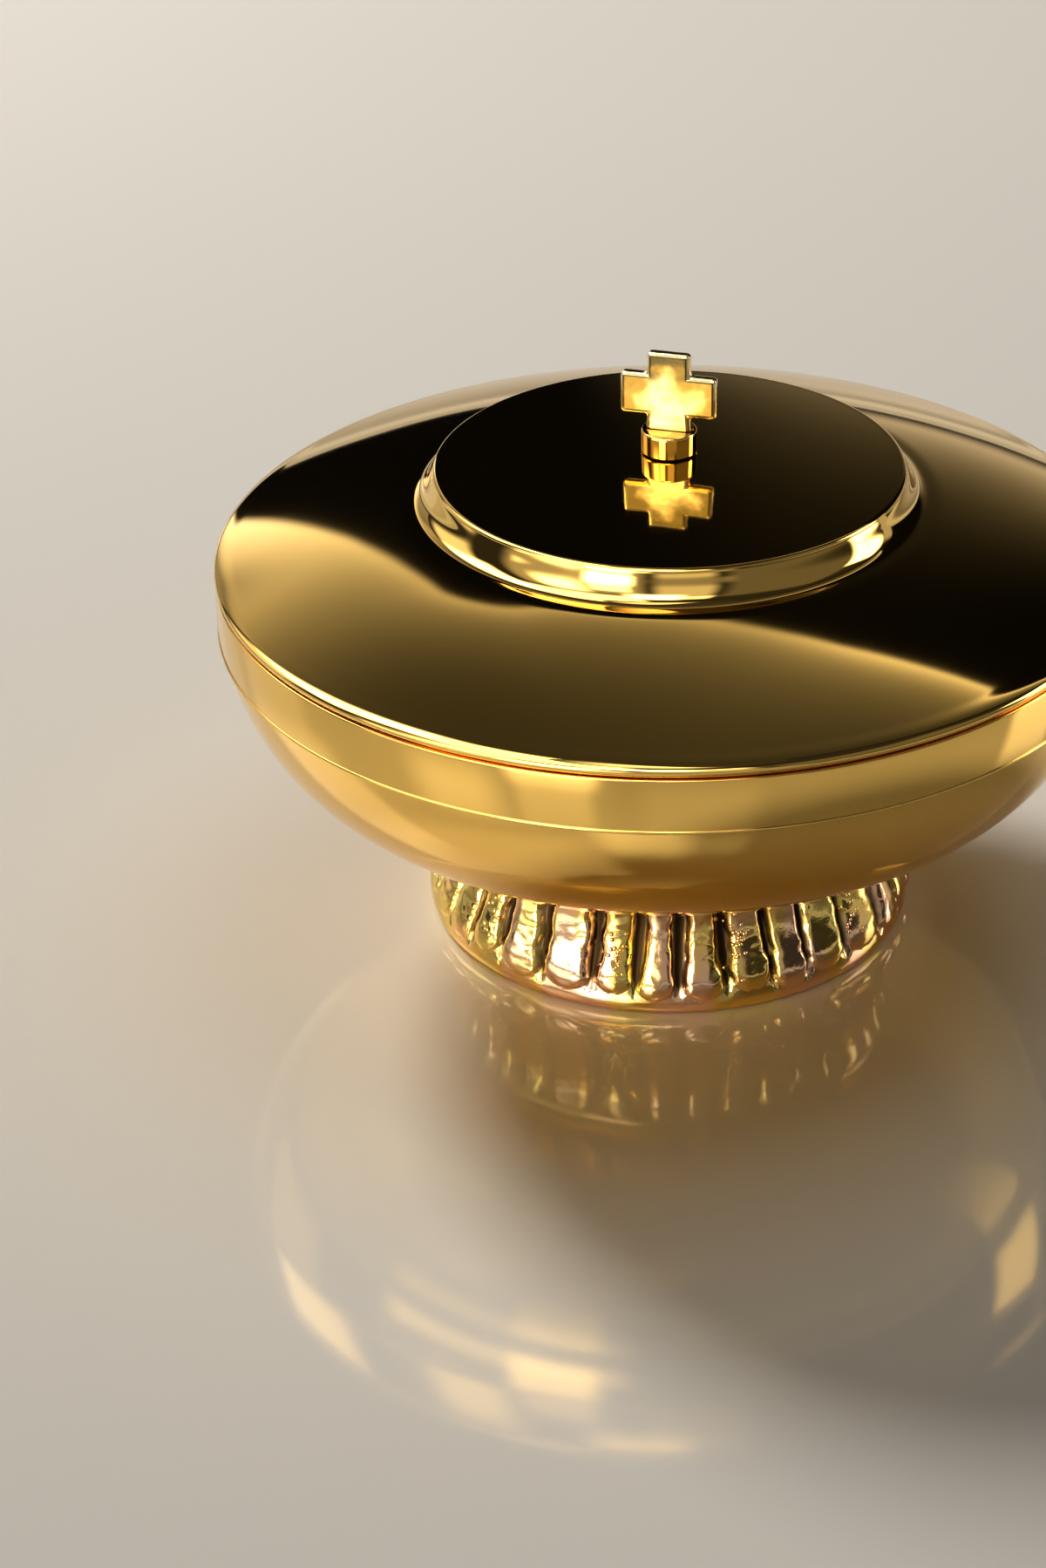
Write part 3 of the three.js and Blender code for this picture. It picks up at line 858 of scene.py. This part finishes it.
# %% Cover sizes
COVER_RADIUS = 80
COVER_SHEET = 1.4
EDGE_RADIUS = 1
EDGE_WIDTH = 4.8
BUFFED_WIDTH = 3.6
BUFFED_CORNER_RISE = 0.9
BUFFED_CORNER_SHARE = 0.5
CROWN_SPHERE = 213
STEP_FOOT_RADIUS = 45.2
HOLLOW_WIDTH = 2.8
HOLLOW_SLOPE = 0.11
STEP_WIDTH = 4
STEP_HEIGHT = 4.5
STEP_FOOT_SHARE = 0.65
STEP_TOP_WIDTH_SHARE = 0.22
STEP_TOP_HEIGHT_SHARE = 0.32
SHOULDER_WIDTH = 0.9
SHOULDER_HEIGHT = 0.7
DISC_SPHERE = 330
STUD_HOLE = 2.3
INSIDE_INSET = 0.4
# The inside hardly shows, so it takes every second point of the outside.
COVER_INSIDE_SPARING = 2

print("cover", 2 * COVER_RADIUS, "mm wide, its disc", 2 * (STEP_FOOT_RADIUS - STEP_WIDTH), "mm")

# %% Spin the cover
def cover_upper_skin():
    edge_turn = math.asin((COVER_RADIUS - EDGE_RADIUS) / CROWN_SPHERE)
    rim_radius = COVER_RADIUS - EDGE_RADIUS + EDGE_RADIUS * math.sin(edge_turn)
    rim_height = COVER_EDGE_HEIGHT + EDGE_RADIUS * math.cos(edge_turn)
    under = quarter(
        (COVER_RADIUS, COVER_EDGE_HEIGHT),
        (COVER_RADIUS - EDGE_RADIUS, COVER_EDGE_HEIGHT - EDGE_RADIUS),
        steps=10,
    )[::-1]
    buffed = COVER_RADIUS - BUFFED_WIDTH
    buffed_height = rim_height + cap_height(CROWN_SPHERE, rim_radius, buffed)
    slope = buffed / math.sqrt(CROWN_SPHERE**2 - buffed**2)
    corner = bezier(
        (COVER_RADIUS, COVER_EDGE_HEIGHT),
        (COVER_RADIUS, COVER_EDGE_HEIGHT + BUFFED_CORNER_RISE),
        (
            buffed + BUFFED_CORNER_SHARE * BUFFED_WIDTH,
            buffed_height - BUFFED_CORNER_SHARE * BUFFED_WIDTH * slope,
        ),
        (buffed, buffed_height),
        steps=20,
    )
    crown = [
        (r, rim_height + cap_height(CROWN_SPHERE, rim_radius, r))
        for r in np.linspace(buffed, STEP_FOOT_RADIUS, num=60)
    ]
    top_r, top_h = STEP_FOOT_RADIUS - STEP_WIDTH, crown[-1][1] + STEP_HEIGHT
    for i in range(1, len(crown)):
        outer_r, outer_h = crown[i - 1]
        r = crown[i][0]
        if r < STEP_FOOT_RADIUS + HOLLOW_WIDTH:
            slope = r / math.sqrt(CROWN_SPHERE**2 - r**2)
            eased = soft_step(STEP_FOOT_RADIUS + HOLLOW_WIDTH - r, 0, HOLLOW_WIDTH)
            slope += (HOLLOW_SLOPE - slope) * eased
            crown[i] = (r, outer_h + slope * (outer_r - r))
    foot_r, foot_h = crown[-1]
    step = bezier(
        (foot_r, foot_h),
        (foot_r - STEP_FOOT_SHARE * STEP_WIDTH, foot_h + STEP_FOOT_SHARE * STEP_WIDTH * HOLLOW_SLOPE),
        (top_r + STEP_TOP_WIDTH_SHARE * STEP_WIDTH, top_h - STEP_TOP_HEIGHT_SHARE * STEP_HEIGHT),
        (top_r, top_h),
        steps=28,
    )
    shoulder_r, shoulder_h = top_r - SHOULDER_WIDTH, top_h + SHOULDER_HEIGHT
    bend = quarter((top_r, top_h), (shoulder_r, shoulder_h), steps=8)
    disc = [
        (r, shoulder_h + cap_height(DISC_SPHERE, shoulder_r, r))
        for r in np.linspace(shoulder_r, STUD_HOLE, num=45)
    ]
    return under + corner[1:] + crown[1:] + step[1:] + bend[1:] + disc[1:]


def cover_outline():
    upper = cover_upper_skin()
    edge_inner = COVER_RADIUS - EDGE_WIDTH
    lower = [(r, h - COVER_SHEET) for r, h in upper if r < edge_inner - INSIDE_INSET]
    lower = lower[::-1][::COVER_INSIDE_SPARING]
    return upper + lower + [(edge_inner, COVER_EDGE_HEIGHT - EDGE_RADIUS)]


cover = turned_piece("cover_spun", cover_outline(), spun_gold)
stand_for(cover, "cover")
print("cover top at", round(cover_upper_skin()[-1][1], 2), "mm")

# %% [markdown]
# ## The rim band and the bowl
#
# Under the cover's edge, a nearly upright band runs round the mouth of the bowl and ends in a fine
# bead, which looks up enough to catch the lights as a bright line. Below that line the bowl curves in
# to the foot, steep at first and almost level at the end. The band is a strip, soldered on, so it is
# a piece of its own with its own small edges. It reaches a little lower than the solid one, which
# stops short of the bowl to stay a separate part.

# %% Spin the rim band
BAND_RADIUS = 79.8
BAND_WALL = 0.9
BAND_CROWN = 0.15
BAND_BOTTOM = 58.05
BEAD_STAND = 0.2
BOWL_RIM = 67.9
LIP_SOFTNESS = 0.3


def band_outline():
    low, high = BAND_BOTTOM + LIP_SOFTNESS, BOWL_RIM - LIP_SOFTNESS
    face = []
    for t in np.linspace(0, 1, num=25):
        radius = BAND_RADIUS + 4 * t * (1 - t) * BAND_CROWN
        face.append((radius, low + LIP_SOFTNESS + (high - low - LIP_SOFTNESS) * t))
    low_edge = [
        (BAND_RADIUS + BEAD_STAND * math.sin(t), low - LIP_SOFTNESS * math.cos(t))
        for t in np.linspace(0, math.pi, num=15)
    ]
    high_edge = quarter((BAND_RADIUS, high), (BAND_RADIUS - LIP_SOFTNESS, BOWL_RIM), steps=6)
    inner = BAND_RADIUS - BAND_WALL
    return low_edge + face[:-1] + high_edge + [(inner, BOWL_RIM), (inner, BAND_BOTTOM)]


band = turned_piece("rim_band_strip", band_outline(), spun_gold)
stand_for(band, "rim_band")

# %% Spin the bowl
BOWL_CREASE_RADIUS = 79.4
BOWL_CREASE_HEIGHT = 58
BOWL_SEAT_RADIUS = 78.6
BOWL_MOUTH_RADIUS = 77.2
BOWL_WALL = 1.4
BOWL_FLOOR_RADIUS = 40.5
BOWL_FLOOR_HEIGHT = 26.5
BOWL_SHOULDER_LEAN = 2.7
BOWL_SHOULDER_SHARE = 0.52
BOWL_FLOOR_REACH = 23.9


def bowl_outline():
    crease = (BOWL_CREASE_RADIUS, BOWL_CREASE_HEIGHT)
    floor_end = (BOWL_FLOOR_RADIUS, BOWL_FLOOR_HEIGHT)
    depth = crease[1] - floor_end[1]
    underside = bezier(
        crease,
        (crease[0] - BOWL_SHOULDER_LEAN, crease[1] - BOWL_SHOULDER_SHARE * depth),
        (floor_end[0] + BOWL_FLOOR_REACH, floor_end[1]),
        floor_end,
        steps=64,
    )
    points = np.array(underside)
    along = np.gradient(points, axis=0)
    along /= np.linalg.norm(along, axis=1)[:, None]
    inner_face = points + BOWL_WALL * np.stack([along[:, 1], -along[:, 0]], axis=1)
    outside = [(0, BOWL_FLOOR_HEIGHT)] + underside[::-1]
    outside += [(BOWL_SEAT_RADIUS, crease[1]), (BOWL_SEAT_RADIUS, BOWL_RIM - LIP_SOFTNESS)]
    inside = [
        (BOWL_SEAT_RADIUS - LIP_SOFTNESS, BOWL_RIM),
        (BOWL_MOUTH_RADIUS + LIP_SOFTNESS, BOWL_RIM),
        (BOWL_MOUTH_RADIUS, BOWL_RIM - LIP_SOFTNESS),
        (BOWL_MOUTH_RADIUS, crease[1] - BOWL_WALL),
    ]
    inside += [tuple(p) for p in inner_face if p[1] < crease[1] - 2 * BOWL_WALL]
    inside += [(0, BOWL_FLOOR_HEIGHT + BOWL_WALL)]
    return outside + inside


bowl = turned_piece("bowl_spun", bowl_outline(), spun_gold)
stand_for(bowl, "bowl")

# %% [markdown]
# ## The cast foot
#
# The foot is a ring with 32 upright lobes, made by eye: they lean, wander and end at different
# heights above a smooth band, like fingers. Between them are thin dark valleys. A hammer flattened
# each lobe in its own direction, so some catch the light whole and their neighbours don't, and a
# punch and solder left small beads along them.
#
# The sweep of the foot's outline gets a fine grid, and every point on the outside moves by a formula
# like the solid model's, with flatter lobes and deeper grooves. On top come the flats, which tilt
# each lobe by a chance amount, and ragged flanks from noise. The chance numbers have a fixed seed, so
# each run makes the same foot.

# %% Foot outline
FOOT_HEIGHT = 26.2
FOOT_BAND_RADIUS = 43.8
FOOT_BAND_HEIGHT = 2.2
FOOT_BAND_ROUNDING = 1.4
FOOT_WAIST_RADIUS = 38.8
FOOT_WAIST_HEIGHT = 19
FOOT_FLARE_LEAN = 0.8
FOOT_FLARE_RISE = 5
FOOT_WAIST_DROP = 6
FOOT_RIM_RADIUS = 41.6
FOOT_RIM_UNDER = 24
FOOT_RIM_SOFTNESS = 0.4
FOOT_NECK_RISE = 1.6
FOOT_NECK_REACH = 1.8
FOOT_BORE_BOTTOM = 39.6
FOOT_BORE_TOP = 36.8
FOOT_FLANGE_RADIUS = 31
FOOT_FLANGE_UNDER = 24.4


def foot_outer_line():
    band_foot = quarter(
        (FOOT_BAND_RADIUS, FOOT_BAND_ROUNDING), (FOOT_BAND_RADIUS - FOOT_BAND_ROUNDING, 0), steps=6
    )[::-1]
    waist = (FOOT_WAIST_RADIUS, FOOT_WAIST_HEIGHT)
    flare = bezier(
        (FOOT_BAND_RADIUS, FOOT_BAND_HEIGHT),
        (FOOT_BAND_RADIUS - FOOT_FLARE_LEAN, FOOT_BAND_HEIGHT + FOOT_FLARE_RISE),
        (FOOT_WAIST_RADIUS, FOOT_WAIST_HEIGHT - FOOT_WAIST_DROP),
        waist,
        steps=64,
    )
    rim = (FOOT_RIM_RADIUS - FOOT_RIM_SOFTNESS, FOOT_RIM_UNDER + FOOT_RIM_SOFTNESS / 2)
    neck = bezier(
        waist,
        (FOOT_WAIST_RADIUS, FOOT_RIM_UNDER - FOOT_NECK_RISE),
        (FOOT_RIM_RADIUS - FOOT_NECK_REACH, FOOT_RIM_UNDER - FOOT_RIM_SOFTNESS),
        rim,
        steps=20,
    )
    edge = [
        (FOOT_RIM_RADIUS, FOOT_RIM_UNDER + 2 * FOOT_RIM_SOFTNESS),
        (FOOT_RIM_RADIUS, FOOT_HEIGHT - FOOT_RIM_SOFTNESS),
        (FOOT_RIM_RADIUS - FOOT_RIM_SOFTNESS, FOOT_HEIGHT),
    ]
    return band_foot + flare + neck[1:] + edge


outer_line = foot_outer_line()
print("points on the foot's outer line:", len(outer_line))

# %% Lobe formula
# The lengths are in millimetres. The widths, the fullness and the overlap are shares of a lobe's own.
# A grain says how far the noise runs in one millimetre.
LOBE_COUNT = 32
LOBE_DEPTH = 1.4
LOBE_LOWEST_END = 2.4
LOBE_END_LENGTH = 4.4
LOBE_END_FLATNESS = 1.7
LOBE_FLATNESS = 3.2
LOBE_TOP_END = 1.8
LOBE_STEPS = 26
LOBE_WIDTHS = (0.62, 0.9)
LOBE_WIDEST = 0.98
LOBE_FULLNESS = (0.7, 1.0)
FLAT_TILT = 0.55
LOBE_CLOSING = 7
VALLEY_DEPTH = 0.7
VALLEY_END_LENGTH = 3
VALLEY_OVERLAP = 0.2
# Where in a groove the painted shade sets in and where it is full.
VALLEY_SHADE_RAMP = (0.1, 0.65)
FLANK_RAGGEDNESS = 0.4
FLANK_GRAIN = 0.55
CREST_RAGGEDNESS = 0.2
WIDTH_WANDER = 0.12
WIDTH_GRAIN = 0.35
# Each wander is a sine wave, given by its size, its rate and its start. The first runs from lobe to
# lobe, and the others run round the foot.
LOBE_END_WANDER = (0.65, 2.4, 1.1)
LOBE_SLOW_WANDER = (0.02, 5, 1)
LOBE_QUICK_WANDER = (0.012, 9, 2.2)
LOBE_LEAN_WANDER = (0.035, 7, -2.7)
FOOT_SEED = 32

chance = np.random.default_rng(FOOT_SEED)
lobe_tilt = chance.uniform(-1, 1, LOBE_COUNT)
lobe_fullness = chance.uniform(*LOBE_FULLNESS, LOBE_COUNT)
lobe_width = chance.uniform(*LOBE_WIDTHS, LOBE_COUNT)


def wave(turn, size, waves, start):
    return size * math.sin(waves * turn + start)


def lobe_shift(turn, height):
    lean = wave(turn, *LOBE_LEAN_WANDER) * (0.5 - height / FOOT_HEIGHT)
    return wave(turn, *LOBE_SLOW_WANDER) + wave(turn, *LOBE_QUICK_WANDER) + lean


def lobe_bulge(across, height, low_end, width):
    """1 on a lobe's crest and 0 at its foot. Higher up the lobe is flat, and its lower end is round."""
    low = min(max((height - low_end) / LOBE_END_LENGTH, 0), 1)
    high = min(max((FOOT_RIM_UNDER - height) / LOBE_TOP_END, 0), 1)
    side = min(abs(across) / width, 1)
    flatness = LOBE_END_FLATNESS + (LOBE_FLATNESS - LOBE_END_FLATNESS) * low
    return math.sqrt(max(0, 1 - side**flatness - (1 - low) ** 2 - (1 - high) ** 2))


def foot_surface(turn, radius, height):
    """Where a point of the plain outline lands once the lobes are on, and how deep in a groove it is."""
    lobe_turn = turn * LOBE_COUNT / (2 * math.pi)
    lobe = round(lobe_turn)
    across = 2 * (lobe_turn - lobe)
    index = lobe % LOBE_COUNT
    low_end = LOBE_LOWEST_END + LOBE_END_WANDER[0] + wave(index, *LOBE_END_WANDER)
    spot = Vector((radius * math.sin(turn), -radius * math.cos(turn), height))
    ragged = FLANK_RAGGEDNESS * noise.noise(spot * FLANK_GRAIN)
    closing = max(0, 1 - (height - low_end) / LOBE_CLOSING)
    width = lobe_width[index] + WIDTH_WANDER * noise.noise(spot * WIDTH_GRAIN)
    width = min(width + (1 - lobe_width[index]) * closing, LOBE_WIDEST)
    bulge = lobe_bulge(across, height, low_end, width)
    flat = FLAT_TILT * lobe_tilt[index] * across * bulge / width
    stand_out = LOBE_DEPTH * bulge * lobe_fullness[index] + flat + CREST_RAGGEDNESS * ragged * bulge
    over_end = min(max((height - low_end) / VALLEY_END_LENGTH, 0), 1)
    under_rim = min(max((FOOT_RIM_UNDER - height) / VALLEY_END_LENGTH, 0), 1)
    beside = min(max((abs(across) - width + VALLEY_OVERLAP) / (1 + VALLEY_OVERLAP - width), 0), 1)
    groove = beside * (over_end * under_rim)
    valley = VALLEY_DEPTH * math.sin(groove * math.pi / 2)
    new_turn = turn + lobe_shift(turn, height) + ragged * bulge / radius
    new_radius = radius + min(stand_out, LOBE_DEPTH) - valley
    spot = (new_radius * math.sin(new_turn), -new_radius * math.cos(new_turn), height)
    return spot, soft_step(groove, *VALLEY_SHADE_RAMP)


waist_length = 2 * math.pi * FOOT_WAIST_RADIUS
print("lobes:", LOBE_COUNT, "of", round(waist_length / LOBE_COUNT, 1), "mm at the waist")

# %% Cast the foot
FOOT_SHARP_ANGLE = 50

inner_line = [
    (FOOT_FLANGE_RADIUS, FOOT_HEIGHT),
    (FOOT_FLANGE_RADIUS, FOOT_FLANGE_UNDER),
    (FOOT_BORE_TOP, FOOT_FLANGE_UNDER),
    (FOOT_BORE_BOTTOM, 0),
]
foot_points, foot_faces = swept_rings(outer_line + inner_line, LOBE_COUNT * LOBE_STEPS)
outer_count = len(outer_line) * LOBE_COUNT * LOBE_STEPS
recess = np.zeros(len(foot_points))
for i in range(outer_count):
    x, y, height = foot_points[i]
    foot_points[i], recess[i] = foot_surface(math.atan2(x, -y), math.hypot(x, y), height)
foot = make_piece("foot_cast", foot_points, foot_faces, foot_gold, FOOT_SHARP_ANGLE)
# The recess attribute says where the grooves get painted shade and a duller surface.
stored = foot.data.attributes.new("recess", "FLOAT", "POINT")
stored.data.foreach_set("value", recess)
stand_for(foot, "foot_ring")

# %% [markdown]
# The beads are domes about 1 mm wide, in clusters along some of the lobes. Each dome is placed on
# the lobes' own surface, with its middle a little under it, and turned to stand square on it.

# %% Bead domes
BEAD_SIDES = 12
BEAD_RINGS = 5
BEAD_FOOT_ANGLE = -20


def outer_radius_at(height):
    radii, heights = zip(*outer_line)
    return float(np.interp(height, heights, radii))


def surface_at(turn, height):
    return Vector(foot_surface(turn, outer_radius_at(height), height)[0])


def bead_dome(centre, outward, radius):
    side = outward.orthogonal().normalized()
    other = outward.cross(side)
    rings = []
    for ring in range(BEAD_RINGS):
        lift = math.radians(BEAD_FOOT_ANGLE + (90 - BEAD_FOOT_ANGLE) * ring / BEAD_RINGS)
        for step in range(BEAD_SIDES):
            turn = 2 * math.pi * step / BEAD_SIDES
            around = side * math.cos(turn) + other * math.sin(turn)
            rings.append(centre + radius * (around * math.cos(lift) + outward * math.sin(lift)))
    rings.append(centre + outward * radius)
    faces = [list(range(BEAD_SIDES))[::-1]]
    for ring in range(BEAD_RINGS - 1):
        for step in range(BEAD_SIDES):
            low, next_step = ring * BEAD_SIDES, (step + 1) % BEAD_SIDES
            faces.append(
                [low + step, low + next_step, low + BEAD_SIDES + next_step, low + BEAD_SIDES + step]
            )
    last = (BEAD_RINGS - 1) * BEAD_SIDES
    for step in range(BEAD_SIDES):
        faces.append([last + step, last + (step + 1) % BEAD_SIDES, last + BEAD_SIDES])
    return rings, faces


print("points in a bead:", BEAD_SIDES * BEAD_RINGS + 1)

# %% Set the beads
BEAD_CLUSTERS = 44
# Share of the circle from each cluster to the next. They walk round the foot many times.
CLUSTER_SPACING = 0.7272
CLUSTER_SHIFT = 0.04
CLUSTER_HEIGHTS = (8, 20)
CLUSTER_COUNTS = (3, 10)
BEAD_TURN_SPREAD = 0.022
BEAD_HEIGHT_SPREAD = 2.4
BEAD_LOWEST = 6
BEAD_HIGHEST = 22.5
BEAD_RADIUS = (0.32, 0.58)
BEAD_SUNK = 0.55
BEAD_SHARP_ANGLE = 60
SMALL_TURN = 0.004
SMALL_RISE = 0.2

bead_points, bead_faces = [], []
bead_count = 0
for cluster in range(BEAD_CLUSTERS):
    cluster_turn = 2 * math.pi * (cluster * CLUSTER_SPACING % 1)
    cluster_turn += chance.uniform(-CLUSTER_SHIFT, CLUSTER_SHIFT)
    cluster_height = chance.uniform(*CLUSTER_HEIGHTS)
    for bead in range(int(chance.integers(*CLUSTER_COUNTS))):
        turn = cluster_turn + chance.normal(0, BEAD_TURN_SPREAD)
        turn = (turn + math.pi) % (2 * math.pi) - math.pi
        height = cluster_height + chance.normal(0, BEAD_HEIGHT_SPREAD)
        height = min(max(height, BEAD_LOWEST), BEAD_HIGHEST)
        radius = chance.uniform(*BEAD_RADIUS)
        spot = surface_at(turn, height)
        east = surface_at(turn + SMALL_TURN, height) - surface_at(turn - SMALL_TURN, height)
        north = surface_at(turn, height + SMALL_RISE) - surface_at(turn, height - SMALL_RISE)
        outward = east.cross(north).normalized()
        rings, faces = bead_dome(spot - outward * radius * BEAD_SUNK, outward, radius)
        bead_faces += [[index + len(bead_points) for index in face] for face in faces]
        bead_points += [tuple(p) for p in rings]
        bead_count += 1
beads = make_piece("foot_beads", bead_points, bead_faces, foot_gold, BEAD_SHARP_ANGLE)
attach(beads, "vessel")
print("beads:", bead_count)

# %% [markdown]
# ## The collar and the cross
#
# The collar is a short turned ring with a slot across its top, and the cross stands in that slot. A
# Boolean cuts the slot here too, because the photograph shows the cross's foot go into the collar.
#
# The cross is a thick plate with soft edges. It is laid out as five cells, in front and behind, so
# that its faces keep an even net, and walls join the two. A bevel rounds its edges, and the net is
# made finer so that noise can dent it by a few hundredths of a millimetre.

# %% Turn the collar
COLLAR_RADIUS = 4.85
COLLAR_STEPS = 96
COLLAR_BORE_DEPTH = 2.1
COLLAR_FOOT_CHAMFER = 0.15
COLLAR_CHAMFER = 0.5

collar_low, collar_high = (corner.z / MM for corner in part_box("finial_collar"))
collar_outline = [
    (0, collar_low + COLLAR_BORE_DEPTH),
    (STUD_HOLE, collar_low + COLLAR_BORE_DEPTH),
    (STUD_HOLE, collar_low),
    (COLLAR_RADIUS - COLLAR_FOOT_CHAMFER, collar_low),
    (COLLAR_RADIUS, collar_low + COLLAR_FOOT_CHAMFER),
]
collar_outline += quarter(
    (COLLAR_RADIUS, collar_high - COLLAR_CHAMFER),
    (COLLAR_RADIUS - COLLAR_CHAMFER / 2, collar_high),
    steps=5,
)
collar_outline += [(0, collar_high)]
collar = turned_piece("collar_turned", collar_outline, spun_gold, COLLAR_STEPS)
print("collar", round(collar_high - collar_low, 2), "mm high")

# %% Cut the slot for the cross
CROSS_SEAT_DEPTH = 1.2
CROSS_FOOT_WIDTH = 8.2
CROSS_THICKNESS = 2.2
TOUCH_GAP = 0.3
PAST_THE_TOP = 1


def boolean_cut(piece, low, high):
    """Cuts a box out of the piece, given by two corners in millimetres."""
    cutter_mesh = bpy.data.meshes.new("cutter")
    work = bmesh.new()
    bmesh.ops.create_cube(work, size=1)
    for corner in work.verts:
        corner.co = Vector([(a + b) / 2 + c * (b - a) for a, b, c in zip(low, high, corner.co)]) * MM
    work.to_mesh(cutter_mesh)
    work.free()
    cutter = bpy.data.objects.new("cutter", cutter_mesh)
    bpy.context.scene.collection.objects.link(cutter)
    cut = piece.modifiers.new("slot", "BOOLEAN")
    cut.operation = "DIFFERENCE"
    cut.object = cutter
    settle(piece)
    bpy.data.objects.remove(cutter)


def settle(piece):
    """Turns the piece's modifiers into plain mesh."""
    evaluated = piece.evaluated_get(bpy.context.evaluated_depsgraph_get())
    mesh = bpy.data.meshes.new_from_object(evaluated)
    piece.modifiers.clear()
    piece.data = mesh


slot_half_width = CROSS_FOOT_WIDTH / 2 + TOUCH_GAP
slot_half_depth = CROSS_THICKNESS / 2 + TOUCH_GAP
boolean_cut(
    collar,
    (-slot_half_width, -slot_half_depth, collar_high - CROSS_SEAT_DEPTH - TOUCH_GAP),
    (slot_half_width, slot_half_depth, collar_high + PAST_THE_TOP),
)
collar.data.shade_smooth()
collar.data.set_sharp_from_angle(angle=math.radians(SHARP_ANGLE))
stand_for(collar, "finial_collar")

# %% Lay out the cross
CROSS_WIDTH = 17
CROSS_ARM_WIDTH = 7.6
CROSS_UNDER_ARM = 3.8
CROSS_TOP = 15.4
CROSS_BEVEL = 0.8
CROSS_BEVEL_STEPS = 4
CROSS_BEVEL_ANGLE = 40
CROSS_HALVINGS = 3
CROSS_DENT = 0.05
CROSS_DENT_GRAIN = 0.3

cross_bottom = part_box("finial_cross")[0].z / MM
columns = [-CROSS_WIDTH / 2, -CROSS_ARM_WIDTH / 2, CROSS_ARM_WIDTH / 2, CROSS_WIDTH / 2]
rows = [0, CROSS_UNDER_ARM, CROSS_UNDER_ARM + CROSS_ARM_WIDTH, CROSS_TOP]
cells = [(1, 0), (0, 1), (1, 1), (2, 1), (1, 2)]


def cross_grid_point(column, row, front):
    half_foot = CROSS_FOOT_WIDTH / 2
    x = math.copysign(half_foot, columns[column]) if row == 0 else columns[column]
    return (x, -CROSS_THICKNESS / 2 if front else CROSS_THICKNESS / 2, cross_bottom + rows[row])


def cross_plate():
    points, index = [], {}
    for front in (True, False):
        for column in range(len(columns)):
            for row in range(len(rows)):
                index[column, row, front] = len(points)
                points.append(cross_grid_point(column, row, front))
    faces, edges = [], {}
    for column, row in cells:
        corners = [(column, row), (column + 1, row), (column + 1, row + 1), (column, row + 1)]
        faces.append([index[c, r, True] for c, r in corners])
        faces.append([index[c, r, False] for c, r in corners][::-1])
        for a, b in zip(corners, corners[1:] + corners[:1]):
            edges[a, b] = True
    for a, b in edges:
        if (b, a) not in edges:
            faces.append([index[*b, True], index[*a, True], index[*a, False], index[*b, False]])
    return points, faces


print("cross", CROSS_WIDTH, "mm wide and", CROSS_TOP, "mm high")

# %% Round and dent the cross
cross = make_piece("cross_cast", *cross_plate(), cross_gold)
work = bmesh.new()
work.from_mesh(cross.data)
bmesh.ops.delete(work, geom=[v for v in work.verts if not v.link_faces], context="VERTS")
bmesh.ops.recalc_face_normals(work, faces=work.faces)
work.to_mesh(cross.data)
work.free()
rounding = cross.modifiers.new("edges", "BEVEL")
rounding.width = CROSS_BEVEL * MM
rounding.segments = CROSS_BEVEL_STEPS
rounding.limit_method = "ANGLE"
rounding.angle_limit = math.radians(CROSS_BEVEL_ANGLE)
finer = cross.modifiers.new("finer", "SUBSURF")
finer.subdivision_type = "SIMPLE"
finer.levels = finer.render_levels = CROSS_HALVINGS
settle(cross)
places = np.array([vertex.co for vertex in cross.data.vertices])
outward = np.array([vertex.normal for vertex in cross.data.vertices])
dents = np.array([abs(noise.noise(Vector(place) / MM * CROSS_DENT_GRAIN)) for place in places])
places -= outward * dents[:, None] * CROSS_DENT * MM
cross.data.vertices.foreach_set("co", places.ravel())
cross.data.shade_smooth()
cross.data.update()
stand_for(cross, "finial_cross")

# %% [markdown]
# ## The hidden hardware
#
# The studs, washers, nuts, the clamp plate and the ring that keeps the cover in place are right as
# they are in the solid model, so they stay and get a finish.

# %% Finish the solid nodes that stay
turned_nodes = ["foot_clamp_plate"]
for place in ("foot", "finial"):
    turned_nodes += [place + "_stud", place + "_washer", place + "_nut"]
finishes = {name: bare_brass for name in turned_nodes}
finishes["locating_ring"] = spun_gold
for name, finish in finishes.items():
    solid_mesh = frame["nodes"][name].data
    solid_mesh.materials.clear()
    solid_mesh.materials.append(finish)
    print(name, "gets", finish.name)

# %% [markdown]
#
# The plain Standard view shows a colour about as it is written.

# %% Finish
bpy.context.scene.view_settings.view_transform = "Standard"
